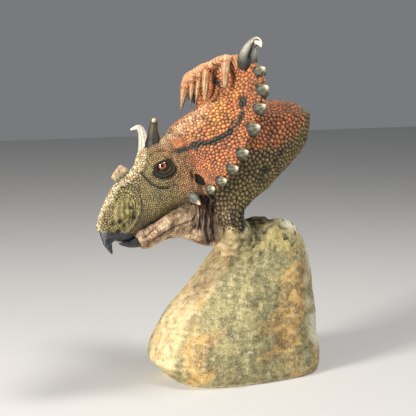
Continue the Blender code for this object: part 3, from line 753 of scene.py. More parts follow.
unbrushed = 1 - 0.9 * np.maximum(stripe, dark_skin)
marks = {
    "groove": np.clip(groove * soft * (1 - 0.62 * big) * (1 - 0.6 * pale) + 0.5 * cavity, 0, 1),
    "crown": np.clip(dome * soft * (0.8 + 0.3 * big * lean), 0, 1) * unbrushed,
    "crest": crest * (1 - dark_skin),
    "crease": creases,
    "scale_tint": scale_tint * soft,
    "orange": orange,
    "yolk": yolk,
    "pink_and_painted_highlight": pink_and_painted_highlight,
    "pale": pale,
    "stripe": stripe,
    "flesh": flesh,
    "throat": throat,
    "horn": horn_paint,
    "hood": hood,
    "fibre": hood * step(0.0, -1.2, fibres),
    "strand": hood * step(0.2, 1.2, fibres),
    "mossy": low_neck * (1 - strand_zone),
    "sinew": strand_zone * step(-0.2, 0.8, strand_lines),
    "lid": dark_skin * (1 - 0.4 * fold_light * step(-0.9, 0.6, blot)),
    "naris": in_naris,
    "hook_end": hook_end,
}
store(skin.data, **marks)
print("paint masks:", ", ".join(marks))

# %% [markdown]
# Now the paints. A colour is given as on a paint card and turned into light values. A shared effect
# starts as an empty node group whose inputs and outputs have names.

# %% Paint colours
def paint(red, green, blue):
    """A colour read off a paint card, 0 to 255, as the light values that Blender mixes."""
    srgb = np.array((red, green, blue)) / 255
    linear = np.where(srgb <= 0.04045, srgb / 12.92, ((srgb + 0.055) / 1.055) ** 2.4)
    return (*[float(value) for value in linear], 1.0)


def new_group(name, inputs, outputs):
    """An empty node group with these named sockets."""
    kinds = {"colour": "NodeSocketColor", "value": "NodeSocketFloat", "vector": "NodeSocketVector"}
    group = bpy.data.node_groups.new(name, "ShaderNodeTree")
    for label, kind in inputs:
        group.interface.new_socket(label, in_out="INPUT", socket_type=kinds[kind])
    for label, kind in outputs:
        group.interface.new_socket(label, in_out="OUTPUT", socket_type=kinds[kind])
    return group, group.nodes.new("NodeGroupInput"), group.nodes.new("NodeGroupOutput")


print("mid grey in light values:", round(paint(128, 128, 128)[0], 3))

# %% [markdown]
# A node tree is a chain of small sums. Each helper adds one node, feeds it and hands back its output, so
# that a chain can be written in one line.

# %% Nodes for noise, sums and mixing
def feed(tree, socket, value):
    """Sets a socket to a number or a colour, or links another socket to it."""
    if isinstance(value, (int, float, tuple)):
        socket.default_value = value
    else:
        tree.links.new(value, socket)


def noise_node(tree, size, detail=3.0, rough=0.55):
    """Cloudy noise in the object's own space; size is a socket or a number of blobs per metre."""
    where = tree.nodes.new("ShaderNodeTexCoord")
    noise = tree.nodes.new("ShaderNodeTexNoise")
    noise.inputs["Detail"].default_value = detail
    noise.inputs["Roughness"].default_value = rough
    tree.links.new(where.outputs["Object"], noise.inputs["Vector"])
    feed(tree, noise.inputs["Scale"], size)
    return noise.outputs["Fac"]


def ranged(tree, value, low, high):
    """The value stretched so that low becomes 0 and high becomes 1."""
    node = tree.nodes.new("ShaderNodeMapRange")
    node.interpolation_type = "SMOOTHSTEP"
    node.inputs["From Min"].default_value = low
    node.inputs["From Max"].default_value = high
    tree.links.new(value, node.inputs["Value"])
    return node.outputs["Result"]


def sum_of(tree, kind, first, second):
    """Two values added, multiplied or whatever kind says; either may be a number."""
    node = tree.nodes.new("ShaderNodeMath")
    node.operation = kind
    for socket, value in zip(node.inputs, (first, second)):
        feed(tree, socket, value)
    return node.outputs[0]


def mixed(tree, share, first, second, blend="MIX"):
    """first with share of second over it; each may be a socket or a colour."""
    node = tree.nodes.new("ShaderNodeMix")
    node.data_type = "RGBA"
    node.blend_type = blend
    node.clamp_factor = True
    for socket, value in ((node.inputs[0], share), (node.inputs[6], first), (node.inputs[7], second)):
        feed(tree, socket, value)
    return node.outputs[2]


print("nodes can be fed, ranged, summed and mixed")

# %% [markdown]
# Hand-mixed paint is never one even tone. This shared group clouds two tones of a colour together. It
# is built once and used with other colours and sizes by nearly every material.

# %% Shared effect: mottled paint
mottle, given, gives = new_group(
    "mottled paint",
    (("First", "colour"), ("Second", "colour"), ("Size", "value")),
    (("Colour", "colour"),),
)
clouds = noise_node(mottle, given.outputs["Size"], 4.0, 0.6)
share = ranged(mottle, clouds, 0.38, 0.62)
colour = mixed(mottle, share, given.outputs["First"], given.outputs["Second"])
mottle.links.new(colour, gives.inputs["Colour"])
print("made:", mottle.name)

# %% [markdown]
# A thin dark wash gathers in grooves and dries unevenly. The group darkens a colour where the low mask
# is high, more in some places than in others.

# %% Shared effect: dark wash in the low places
wash, given, gives = new_group(
    "dark wash",
    (("Colour", "colour"), ("Wash", "colour"), ("Low", "value"), ("Strength", "value")),
    (("Colour", "colour"),),
)
uneven = ranged(wash, noise_node(wash, 90.0, 3.0), 0.25, 0.6)
amount = sum_of(wash, "MULTIPLY", given.outputs["Low"], given.outputs["Strength"])
amount = sum_of(wash, "MULTIPLY", amount, sum_of(wash, "ADD", sum_of(wash, "MULTIPLY", uneven, 0.35), 0.72))
colour = mixed(wash, amount, given.outputs["Colour"], given.outputs["Wash"])
wash.links.new(colour, gives.inputs["Colour"])
print("made:", wash.name)

# %% [markdown]
# A nearly dry brush leaves light paint on high places only, in fine streaks.

# %% Shared effect: dry brush on the high places
brush, given, gives = new_group(
    "dry brush",
    (("Colour", "colour"), ("Light", "colour"), ("High", "value"), ("Strength", "value")),
    (("Colour", "colour"),),
)
streaks = ranged(brush, noise_node(brush, 420.0, 2.0), 0.35, 0.65)
amount = sum_of(brush, "MULTIPLY", given.outputs["High"], given.outputs["Strength"])
amount = sum_of(brush, "MULTIPLY", amount, sum_of(brush, "ADD", sum_of(brush, "MULTIPLY", streaks, 0.7), 0.3))
colour = mixed(brush, amount, given.outputs["Colour"], given.outputs["Light"])
brush.links.new(colour, gives.inputs["Colour"])
print("made:", brush.name)

# %% [markdown]
# The grain gives a height for a Bump node and no colour.

# %% Shared effects: spatter, stipple and grain
spatter, given, gives = new_group(
    "paint spatter",
    (("Colour", "colour"), ("Speck", "colour"), ("Size", "value"), ("Strength", "value")),
    (("Colour", "colour"),),
)
specks = ranged(spatter, noise_node(spatter, given.outputs["Size"], 1.0, 0.4), 0.62, 0.70)
amount = sum_of(spatter, "MULTIPLY", specks, given.outputs["Strength"])
colour = mixed(spatter, amount, given.outputs["Colour"], given.outputs["Speck"])
spatter.links.new(colour, gives.inputs["Colour"])

stipple, given, gives = new_group(
    "stippled paint",
    (("Colour", "colour"), ("Light", "colour"), ("Dark", "colour"), ("Size", "value"), ("Strength", "value")),
    (("Colour", "colour"),),
)
dabs = noise_node(stipple, given.outputs["Size"], 4.0, 0.65)
lighter = sum_of(stipple, "MULTIPLY", ranged(stipple, dabs, 0.52, 0.68), given.outputs["Strength"])
darker = sum_of(stipple, "MULTIPLY", ranged(stipple, dabs, 0.48, 0.34), given.outputs["Strength"])
colour = mixed(stipple, lighter, given.outputs["Colour"], given.outputs["Light"])
stipple.links.new(mixed(stipple, darker, colour, given.outputs["Dark"]), gives.inputs["Colour"])

grain, given, gives = new_group("cast grain", (("Size", "value"),), (("Height", "value"),))
grain.links.new(noise_node(grain, given.outputs["Size"], 5.0, 0.7), gives.inputs["Height"])
print("shared effects:", [g.name for g in bpy.data.node_groups])

# %% [markdown]
# Each material holds its own shader. The shared groups are placed in it and linked by the names of
# their inputs. Roughness and coat that don't vary are set on the shader itself.

# %% How a material is put together
def material_with_shader(name, roughness):
    """A new material with its node tree and its shader."""
    material = bpy.data.materials.new(name)
    material.use_nodes = True
    shader = material.node_tree.nodes["Principled BSDF"]
    shader.inputs["Roughness"].default_value = roughness
    return material, material.node_tree, shader


def placed(tree, group, **values):
    """A shared effect placed in a material, with its inputs set or linked by name."""
    node = tree.nodes.new("ShaderNodeGroup")
    node.node_tree = group
    for label, value in values.items():
        feed(tree, node.inputs[label], value)
    return node.outputs[0]


def mask_of(tree, name):
    """A mask that was kept on the points of the piece."""
    node = tree.nodes.new("ShaderNodeAttribute")
    node.attribute_name = name
    return node.outputs["Fac"]


print("a material is a shader, shared effects and masks")

# %% [markdown]
# A painter has few moves: mix two tones, lay a coat through a mask, brush light paint over high places,
# run wash into low ones, and seal the work. Each move is one short function, so that a paint further
# down reads like a recipe.

# %% Ways to lay paint
def mottled(tree, first, second, size):
    """Two tones of one paint, as card colours, clouded together."""
    return placed(tree, mottle, First=paint(*first), Second=paint(*second), Size=size)


def coat(tree, colour, mask, over):
    """Another paint laid over the colour where a mask of the piece is 1."""
    return mixed(tree, mask_of(tree, mask), colour, over)


def brushed(tree, colour, light, mask, strength):
    """Light paint dry-brushed on the high places that a mask gives."""
    return placed(tree, brush, Colour=colour, Light=light, High=mask_of(tree, mask), Strength=strength)


def washed(tree, colour, dark, mask, strength):
    """Dark wash in the low places that a mask gives."""
    return placed(tree, wash, Colour=colour, Wash=dark, Low=mask_of(tree, mask), Strength=strength)


def sealed(tree, shader, colour, size, distance, strength=0.5):
    """The finished colour and the fine grain of the cast, through a Bump node, go to the shader."""
    tree.links.new(colour, shader.inputs["Base Color"])
    bump = tree.nodes.new("ShaderNodeBump")
    bump.inputs["Distance"].default_value = distance
    bump.inputs["Strength"].default_value = strength
    tree.links.new(placed(tree, grain, Size=size), bump.inputs["Height"])
    tree.links.new(bump.outputs["Normal"], shader.inputs["Normal"])


print("ways to lay paint:", [way.__name__ for way in (mottled, coat, brushed, washed, sealed)])

# %% [markdown]
# The hide is painted as a painter would: base colours by zone first, one over the other. The order
# matters, for the stripe lies over the orange and the lids over everything.

# %% Hide paint
hide, tree, shader = material_with_shader("painted hide", 0.55)
shader.inputs["Specular IOR Level"].default_value = 0.35
olive = mottled(tree, (118, 104, 54), (82, 74, 40), 70.0)
olive = coat(tree, olive, "naris", mottled(tree, (166, 156, 88), (104, 102, 58), 230.0))
rust = mottled(tree, (206, 112, 54), (166, 78, 38), 55.0)
rust = coat(tree, rust, "yolk", paint(222, 146, 62))
# Pale pink paint with painted highlight in the frill's hollow.
rust = coat(tree, rust, "pink_and_painted_highlight", paint(242, 190, 150))
colour = olive
for mask, over in (
    ("orange", rust),
    ("pale", mottled(tree, (224, 212, 176), (184, 172, 132), 190.0)),
    ("flesh", mottled(tree, (240, 214, 178), (152, 114, 84), 90.0)),
    ("throat", mottled(tree, (140, 108, 88), (92, 66, 52), 60.0)),
    ("sinew", paint(206, 178, 150)),
    ("mossy", mottled(tree, (164, 154, 96), (112, 110, 70), 120.0)),
    ("hood", mottled(tree, (234, 184, 138), (214, 150, 104), 90.0)),
    ("horn", mottled(tree, (216, 182, 138), (180, 136, 94), 120.0)),
    ("hook_end", paint(112, 82, 56)),
    ("stripe", paint(44, 42, 38)),
    ("lid", paint(30, 32, 22)),
):
    colour = coat(tree, colour, mask, over)
print("coats of paint before the washes:", len(tree.nodes), "nodes")

# %% [markdown]
# Then each scale gets its own shade, light paint is brushed over the domes, and dark wash goes into
# grooves, strands and creases. Last come specks, more of them on the pale ridge.

# %% Washes and dry brushing over the hide
tint = ranged(tree, mask_of(tree, "scale_tint"), -1.0, 0.8)
darker = mixed(tree, 1.0, colour, paint(172, 146, 134), "MULTIPLY")
colour = mixed(tree, tint, darker, colour)
bright = mixed(tree, 0.42, colour, paint(252, 226, 166))
colour = brushed(tree, colour, bright, "crown", 0.75)
colour = brushed(tree, colour, bright, "crest", 0.12)
shade = mixed(tree, 1.0, colour, paint(78, 58, 42), "MULTIPLY")
colour = washed(tree, colour, shade, "groove", 1.0)
colour = washed(tree, colour, shade, "fibre", 0.4)
colour = brushed(tree, colour, paint(240, 212, 172), "strand", 0.6)
colour = washed(tree, colour, paint(20, 16, 12), "crease", 0.95)
colour = placed(tree, spatter, Colour=colour, Speck=paint(48, 42, 30), Size=560.0, Strength=0.45)
ridge_specks = sum_of(tree, "MULTIPLY", mask_of(tree, "pale"), 0.85)
colour = placed(tree, spatter, Colour=colour, Speck=paint(44, 40, 30), Size=380.0, Strength=ridge_specks)
sheen_free = sum_of(tree, "ADD", sum_of(tree, "MULTIPLY", mask_of(tree, "lid"), 0.4), 0.52)
tree.links.new(sheen_free, shader.inputs["Roughness"])
sealed(tree, shader, colour, 1500.0, 0.00025)
skin.data.materials.clear()
skin.data.materials.append(hide)
skin.data.shade_smooth()
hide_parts("head", "frill", "lower_jaw", "neck")
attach(skin, "root")
print("hide material nodes:", len(tree.nodes))

# %% [markdown]
# Horns and studs taper round a curved axis. Each could be a curve with a bevel, but then no flutes or
# growth rings. So first comes a smooth curve through a few keys, and with it what every piece is
# given at its end: material and body, with the nodes it replaces hidden.

# %% A smooth curve, and the end of each piece
def smooth_keys(at, keys):
    """Values along a smooth curve through evenly spaced keys, for an array of places from 0 to 1."""
    keys = np.asarray(keys, float)
    count = len(keys) - 1
    slopes = np.gradient(keys, axis=0)
    t = np.clip(np.asarray(at, float) * count, 0, count)
    i = np.minimum(t.astype(int), count - 1)
    t = (t - i)[:, None] if keys.ndim > 1 else t - i
    near, far = keys[i], keys[i + 1]
    return (near * (2 * t**3 - 3 * t**2 + 1) + slopes[i] * (t**3 - 2 * t**2 + t)
            + far * (3 * t**2 - 2 * t**3) + slopes[i + 1] * (t**3 - t**2))


def finished(obj, material, slot, *replaced):
    """Gives a piece its material, hides the nodes it replaces and hangs it on the root body; the slot is not
    used.
    """
    obj.data.materials.clear()
    obj.data.materials.append(material)
    obj.data.shade_smooth()
    if replaced:
        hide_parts(*replaced)
    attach(obj, "root")
    return obj


print("half way on a straight curve:", smooth_keys(0.5, (0.0, 1.0)))

# %% [markdown]
# The horn itself is a tube: rings of points along that curve, with flutes and a trough pressed into
# them. Its radius follows a curve of its own, so that the root can swell and the tip can end in a
# point. It keeps how far along and how deep each point is, for the paint.

# %% A tapered horn
def tapered(
    name, path, radii, across=(0, 1, 0), flat=1.0, steps=44, sides=40,
    flutes=9, depth=0.05, rings=0.02, seed=1, trough=None,
):
    """A horn round a path in the head's frame, with flutes along it and growth rings round it."""
    along = np.linspace(0, 1, steps)
    middle = smooth_keys(along, path)
    radius = smooth_keys(along, radii)
    run = np.gradient(middle, axis=0)
    run /= np.linalg.norm(run, axis=1)[:, None]
    first = np.cross(run, across)
    first /= np.linalg.norm(first, axis=1)[:, None]
    second = np.cross(run, first)
    turn = np.linspace(0, 2 * np.pi, sides, endpoint=False)
    chance = np.random.default_rng(seed)
    shape = depth * np.cos(flutes * turn + chance.uniform(0, 6))
    shape = shape + 0.5 * depth * np.cos((flutes * 2 + 1) * turn)
    ring = rings * np.sin(along * 34 + 2 * np.sin(along * 9)) * (1 - along)
    fade = step(1.0, 0.7, along)[:, None]
    wide = radius[:, None] * (1 + shape[None, :] * fade + ring[:, None])
    sunk = np.zeros_like(wide)
    if trough is not None:
        way, deep, width = trough
        facing = np.cos(turn)[None, :] * (first @ way)[:, None]
        facing = facing + np.sin(turn)[None, :] * (second @ way)[:, None]
        facing /= np.hypot(first @ way, second @ way)[:, None]
        sunk = np.exp(-((np.arccos(np.clip(facing, -1, 1)) / width) ** 2))
        sunk *= (step(0.1, 0.3, along) * step(0.92, 0.7, along))[:, None]
        wide = wide * (1 - deep * sunk)
    grid = (middle[:, None] + first[:, None] * (np.cos(turn) * wide)[..., None] * flat
            + second[:, None] * (np.sin(turn) * wide)[..., None])
    points = in_room(grid.reshape(-1, 3))
    low, high = in_room(middle[0]), in_room(middle[-1] + run[-1] * radius[-1] * 0.5)
    points = np.vstack([points, low, high])
    faces = []
    for i in range(steps - 1):
        for j in range(sides):
            k = (j + 1) % sides
            faces.append((i * sides + j, i * sides + k, (i + 1) * sides + k, (i + 1) * sides + j))
    last = (steps - 1) * sides
    for j in range(sides):
        k = (j + 1) % sides
        faces.append((steps * sides, k, j))
        faces.append((last + j, last + k, steps * sides + 1))
    mesh = bpy.data.meshes.new(name)
    mesh.from_pydata((points * MM).tolist(), [], faces)
    bm = bmesh.new()
    bm.from_mesh(mesh)
    bmesh.ops.recalc_face_normals(bm, faces=bm.faces)
    bm.to_mesh(mesh)
    bm.free()
    obj = bpy.data.objects.new(name, mesh)
    bpy.context.scene.collection.objects.link(obj)
    valley = np.clip(-np.tile(shape, steps) / (1.5 * depth), 0, 1) * np.repeat(fade[:, 0], sides)
    valley = np.maximum(valley, np.clip(sunk * 1.6, 0, 1).ravel())
    store(mesh, along=np.append(np.repeat(along, sides), (0, 1)), valley=np.append(valley, (0, 0)))
    return obj


print("a horn can be made from a path and its radii")

# %% [markdown]
# Horn is dark at the root and pale at the tip, with a dark wash in the flutes. One function makes all horn
# paints. Both brow horns are one paint: the near one dark brown as painted shade, the far one pale as painted
# light.

# %% Horn paint
def horn_paint_of(name, root, middle, tip, dark, where=(0.12, 0.35, 0.7, 0.95), roughness=0.55):
    """Paint that changes from root to tip, with dark streaks in the flutes."""
    material, tree, shader = material_with_shader(name, roughness)
    along = mask_of(tree, "along")
    darker = tuple(0.72 * value for value in middle[:3]) + (1.0,)
    body = placed(tree, mottle, First=middle, Second=darker, Size=260.0)
    colour = mixed(tree, ranged(tree, along, where[0], where[1]), root, body)
    colour = mixed(tree, ranged(tree, along, where[2], where[3]), colour, tip)
    colour = washed(tree, colour, dark, "valley", 0.95)
    colour = placed(tree, spatter, Colour=colour, Speck=dark, Size=900.0, Strength=0.35)
    sealed(tree, shader, colour, 1800.0, 0.0002)
    return material


# One brow horn paint in two copies: darker tones as painted shade on the near horn, paler tones as painted
# light on the far one.
brow_paint_with_painted_shade = horn_paint_of("olive brown brow horn with painted shade", paint(24, 20, 15), paint(84, 70, 42), paint(214, 200, 168),
                          paint(28, 22, 14), where=(0.2, 0.5, 0.78, 0.98))
brow_paint_with_painted_light = horn_paint_of("brow horn with painted light", paint(190, 182, 154), paint(210, 204, 186), paint(238, 232, 218),
                         paint(96, 88, 72), where=(0.0, 0.12, 0.7, 0.95))
grey_horn = horn_paint_of("grey corner horn", paint(50, 50, 44), paint(172, 168, 154), paint(242, 230, 204),
                          paint(26, 26, 23), where=(0.12, 0.4, 0.5, 0.8))
cheek_paint = horn_paint_of("cheek horn", paint(34, 34, 32), paint(118, 116, 106), paint(228, 202, 160),
                            paint(40, 38, 36), where=(0.1, 0.4, 0.6, 0.9))
print("horn paints:", [m.name for m in (brow_paint_with_painted_shade, brow_paint_with_painted_light, grey_horn, cheek_paint)])

# %% [markdown]
# Two brow horns curve outward, a short horn points down from each cheek, and a big grey horn stands at
# each top corner of the frill, folded in a trough and hooked at its tip.

# %% Horns of the brow, cheek and frill
BROW_PATHS = {
    "left": (
        (-10, 9, 17), (-15, 10, 26), (-20, 12, 35.5),
        (-23.1, 15.3, 41.7), (-22.6, 19.1, 43.3), (-19.4, 24, 43.4),
    ),
    "right": (
        (-10, 9, 17), (-15, 10, 27), (-20.5, 12, 37.5),
        (-24.3, 16.5, 44.3), (-25, 21.5, 48.2), (-21.3, 29, 49.8),
    ),
}
CHEEK_RADII = (6.3, 5.7, 3.5, 0.8)
CORNER_RADII = (8.0, 10.4, 8.8, 6.4, 4.2, 2.6, 0.6)
CHEEK_PATH = ((-11, 23, -38), (-12, 28, -43.5), (-12, 31, -48), (-11.6, 33, -51.5))
CORNER_PATH = (
    (-128.5, 50.5, 45), (-131, 57.5, 51), (-134.6, 63, 56.3), (-138.2, 67.5, 60.2),
    (-141, 72.8, 61.4), (-140.3, 77, 57.7), (-136.4, 80.7, 53.4),
)


def sided(path, side):
    """A path on the left side, or its mirror image when side is -1."""
    return [(p[0], p[1] * side, p[2]) for p in path]


for side, word, brow_paint, brow_radii in (
    (1, "left", brow_paint_with_painted_shade, (10.0, 7.9, 5.0, 4.0, 3.0, 1.4)),
    (-1, "right", brow_paint_with_painted_light, (9.4, 6.8, 4.8, 3.6, 2.5, 1.0)),
):
    path = sided(BROW_PATHS[word], side)
    horn = tapered("brow_horn_skin_" + word, path, brow_radii, flat=0.95, depth=0.03, seed=3)
    finished(horn, brow_paint, "horn", "brow_horn_" + word)
    path = sided(CHEEK_PATH, side)
    horn = tapered("cheek_horn_skin_" + word, path, CHEEK_RADII, flat=0.8, flutes=5, depth=0.03, seed=4)
    finished(horn, cheek_paint, "horn", "cheek_horn_" + word)
    horn = tapered(
        "corner_horn_skin_" + word, sided(CORNER_PATH, side), CORNER_RADII, across=(1, 0, 0),
        steps=60, sides=64, flutes=3, depth=0.04, rings=0.01, seed=5,
        trough=(np.array((0.25, 0.95 * side, -0.1)), 0.4, 0.42),
    )
    finished(horn, grey_horn, "horn", "corner_horn_" + word)
print("horn pieces made")

# %% [markdown]
# The studs are the same tapered shape, short and blunt. They are joined to one piece for each side,
# since they are never moved apart.

# %% Studs on the rim of the frill
STUD_TAPER = (1.12, 1.2, 1.0, 0.62, 0.14)
stud_paint = horn_paint_of("grey green stud", paint(44, 42, 32), paint(116, 112, 88), paint(220, 210, 184),
                           paint(40, 38, 30), where=(0.32, 0.5, 0.66, 0.94), roughness=0.5)


def one_mesh(name, parts):
    """Several pieces joined into one object."""
    bpy.ops.object.select_all(action="DESELECT")
    for part in parts:
        part.select_set(True)
    bpy.context.view_layer.objects.active = parts[0]
    bpy.ops.object.join()
    parts[0].name = name
    return parts[0]


for side, word in ((1, "left"), (-1, "right")):
    studs = []
    for number, (place, way, length, radius) in enumerate(STUDS):
        place, way = np.array(place), np.array(way)
        path = [place + way * reach for reach in (-3.5, -1, length * 0.35, length * 0.75, length + 1.0)]
        studs.append(
            tapered(
                "stud", sided(path, side), np.array(STUD_TAPER) * radius, across=(0, 0, 1), flat=0.9,
                steps=22, sides=30, flutes=7, depth=0.06, rings=0.03, seed=20 + number,
            )
        )
    finished(one_mesh("studs_" + word, studs), stud_paint, "horn")
print("studs made:", 2 * len(STUDS))

# %% [markdown]
# The beak and the nose horn have the right outline in the solids already. They are remeshed finely and
# smoothed, so that they can carry fine relief and paint. First their paints: blue black with painted
# highlights on the high places, and tan with a dark foot.

# %% Beak and nose horn, laid out again from their solids
def reworked(name, voxel, rounds):
    """The solid of one node in fine even squares, with its edges rounded."""
    bm = welded(name, 0.0)
    obj = remeshed(name + "_skin", bm, voxel)
    bm.free()
    ends = edge_ends(obj.data)
    points = relaxed(places(obj.data), ends, rounds)
    move_to(obj.data, points)
    return obj, points, ends, directions(obj.data)


beak_paint, tree, shader = material_with_shader("blue black beak", 0.3)
colour = mottled(tree, (24, 27, 31), (46, 52, 57), 150.0)
# Grey on the beak's high places is a painted highlight of its gloss.
colour = brushed(tree, colour, paint(128, 132, 130), "crest", 0.4)
colour = washed(tree, colour, paint(16, 17, 18), "valley", 0.8)
sealed(tree, shader, colour, 1300.0, 0.0003, 0.6)

nose_paint, tree, shader = material_with_shader("tan nose horn", 0.5)
colour = mottled(tree, (196, 172, 136), (158, 132, 98), 160.0)
colour = coat(tree, colour, "along", paint(92, 90, 70))
colour = brushed(tree, colour, paint(214, 196, 162), "crest", 0.5)
colour = washed(tree, colour, paint(44, 36, 26), "valley", 0.8)
sealed(tree, shader, colour, 1500.0, 0.00025)
print("beak and nose paints made")

# %% [markdown]
# Waves of growth and small dents are added along the normals. The high and low places go to the paint
# as masks.

# %% Beak and nose horn: relief
FINE_VOXEL = 0.4
for name, material in (("beak_upper", beak_paint), ("beak_lower", beak_paint), ("nose_horn", nose_paint)):
    piece, spots, links, outward = reworked(name, FINE_VOXEL, 6)
    spot_fore, spot_left, spot_up = in_head(spots).T
    if name == "nose_horn":
        wave = np.sin(spot_fore * 1.5 + spot_up * 0.5 + 0.6 * wander(spots, 5, 41))
    else:
        wave = np.sin(spot_up * 1.6 + spot_left * 1.1 + spot_fore * 0.5 + 1.2 * wander(spots, 6, 42))
    rough = 0.10 * wave + 0.12 * wander(spots, 3.0, 43)
    spots = spots + outward * (rough - 0.1)[:, None]
    move_to(piece.data, spots)
    even = relaxed(spots, links, 12)
    height = ((spots - even) * directions(piece.data)).sum(1)
    store(piece.data, crest=step(0.05, 0.5, height), valley=step(0.0, -0.25, rough),
          along=step(16, 9, spot_up + 0.15 * (spot_fore - 30)))
    finished(piece, material, "horn" if name == "nose_horn" else "beak", name)
print("beak and nose horn made")

# %% [markdown]
# The eyes of the bust are glassy: amber with a round pupil and a dark rim under a clear coat. The
# colour depends on the distance from the axis of gaze, with fine rays round it.

# %% Eyes
iris, tree, shader = material_with_shader("amber eye", 0.12)
shader.inputs["Coat Weight"].default_value = 1.0
shader.inputs["Coat Roughness"].default_value = 0.03
where = tree.nodes.new("ShaderNodeTexCoord")
parts = tree.nodes.new("ShaderNodeSeparateXYZ")
tree.links.new(where.outputs["Object"], parts.inputs["Vector"])
squares = [sum_of(tree, "MULTIPLY", parts.outputs[way], parts.outputs[way]) for way in ("X", "Y")]
reach = sum_of(tree, "SQRT", sum_of(tree, "ADD", *squares), 0.0)
turn = sum_of(tree, "ARCTAN2", parts.outputs["Y"], parts.outputs["X"])
rays = tree.nodes.new("ShaderNodeTexNoise")
rays.noise_dimensions = "2D"
rays.inputs["Scale"].default_value = 1.0
spread = tree.nodes.new("ShaderNodeCombineXYZ")
tree.links.new(sum_of(tree, "MULTIPLY", turn, 7.0), spread.inputs["X"])
tree.links.new(sum_of(tree, "MULTIPLY", reach, 500.0), spread.inputs["Y"])
tree.links.new(spread.outputs["Vector"], rays.inputs["Vector"])
amber = mixed(tree, ranged(tree, rays.outputs["Fac"], 0.35, 0.65), paint(118, 50, 24), paint(170, 92, 50))
colour = mixed(tree, ranged(tree, reach, 0.0028, 0.0042), amber, paint(70, 24, 14))
colour = mixed(tree, ranged(tree, reach, 0.0042, 0.0048), colour, paint(16, 13, 11))
colour = mixed(tree, ranged(tree, reach, 0.0014, 0.0018), paint(6, 5, 5), colour)
tree.links.new(colour, shader.inputs["Base Color"])
print("eye paint nodes:", len(tree.nodes))

# %% [markdown]
# A ball alone would be flat where it looks out, so the front of each ball bulges slightly as a cornea
# does. Each ball is turned to look along its own side's gaze.

# %% Eyes: the balls
EYE_RADIUS = 7.4 * HEAD_SCALE * MM
for side, word in ((1, "left"), (-1, "right")):
    mesh = bpy.data.meshes.new("eye_skin_" + word)
    bm = bmesh.new()
    bmesh.ops.create_uvsphere(bm, u_segments=64, v_segments=40, radius=EYE_RADIUS)
    for vert in bm.verts:
        ahead_of_rim = vert.co.z / EYE_RADIUS - 0.8
        vert.co.z += max(ahead_of_rim, 0) ** 1.5 * 4 * MM
    bm.to_mesh(mesh)
    bm.free()
    eye = bpy.data.objects.new("eye_skin_" + word, mesh)
    bpy.context.scene.collection.objects.link(eye)
    eye.location = in_room((EYE[0], EYE[1] * side, EYE[2])) * MM
    look = Vector(HEAD_AXES @ (GAZE * (1, side, 1)))
    eye.rotation_euler = look.to_track_quat("Z", "Y").to_euler()
    finished(eye, iris, "eye", "eye_" + word)
print("radius of the eyes in mm:", round(EYE_RADIUS / MM, 2))

# %% [markdown]
# The neck flows into the rock without an edge. The foot of the neck is cut off a copy, joined to the
# rock, remeshed as one and smoothed round the joint. The neck's scales come out above it.

# %% Rock of the base
# The height in metres where the copy of the neck is cut, and the side of a square in millimetres.
NECK_CUT, ROCK_VOXEL = 0.186, 1.25
neck_foot = welded("neck", 0.5)
bmesh.ops.bisect_plane(neck_foot, geom=neck_foot.verts[:] + neck_foot.edges[:] + neck_foot.faces[:],
                       plane_co=(0, 0, NECK_CUT), plane_no=(0, 0, 1), clear_outer=True)
bmesh.ops.holes_fill(neck_foot, edges=[e for e in neck_foot.edges if e.is_boundary])
rock_blank = welded("stand_rock", 0.0)
foot_mesh = bpy.data.meshes.new("neck_foot")
neck_foot.to_mesh(foot_mesh)
neck_foot.free()
rock_blank.from_mesh(foot_mesh)
rock = remeshed("rock_skin", rock_blank, ROCK_VOXEL)
rock_blank.free()
links = edge_ends(rock.data)
spots = relaxed(places(rock.data), links, 10)
near_join = step(40, 12, np.abs(spots[:, 2] - 150)) * step(-75, -50, spots[:, 0])
spots = relaxed(spots, links, 60, 0.5 * near_join[:, None])
move_to(rock.data, spots)
outward = directions(rock.data)
x, y, z = spots.T
print("rock blank:", len(spots), "vertices")

# %% [markdown]
# The rock is a smooth boulder with slow dents, a knob behind the neck, and a pale rib that runs from the
# throat down the front. Level scratches copy the strokes of the sculptor's tool.

# %% Relief of the rock
ragged = z + 5 * wander(spots, 12, 51) + 2 * wander(spots, 5, 52)
tuck = step(147, 160, ragged)
dents = 1.6 * wander(spots, 34, 53) + 0.9 * wander(spots, 15, 54)
dents = dents + 0.45 * wander(spots, 6, 55) + 0.22 * wander(spots, 3.2, 56)
knob = np.exp(-((np.linalg.norm((spots - (52, -14, 150)) / (11, 15, 9), axis=1)) ** 2))
rib_path = ((-27, -27, 138), (-25, -9, 115), (-37, -3, 97), (-54, -10, 81), (-70, -18, 60), (-88, -12, 32))
rib_distance, rib_along = near_path(spots, rib_path)
rib_width = np.interp(rib_along, (0, 0.3, 1), (5, 8, 15)) + 1.5 * wander(spots, 12, 57)
rib = np.exp(-((rib_distance / rib_width) ** 2))
flank = spots[:, 0] * 0.899 - spots[:, 1] * 0.438
above = step(0.5, 3, z)
rough_rib = rib * (1 + 0.4 * wander(spots, 7, 57))
lift = above * (0.9 * dents + 4.5 * knob + 1.8 * rough_rib - 3.2 * tuck) + 0.8 * (1 - tuck)
scratch = wander(spots * (0.35, 0.35, 1), 2.2, 58)
cords = np.cos((rib_distance + 1.5 * wander(spots, 9, 74)) * 2 * np.pi / 4.6) * step(0.75, 0.1, rib_along)
cords *= step(15, 9, rib_distance) * step(0.06, 0.2, rib_along)
lift += above * (0.35 * cords + 0.16 * scratch)
spots = spots + outward * lift[:, None]
spots[:, 2] = np.maximum(spots[:, 2], 0)
move_to(rock.data, spots)
print("rock relief in mm:", lift.min().round(2), lift.max().round(2))
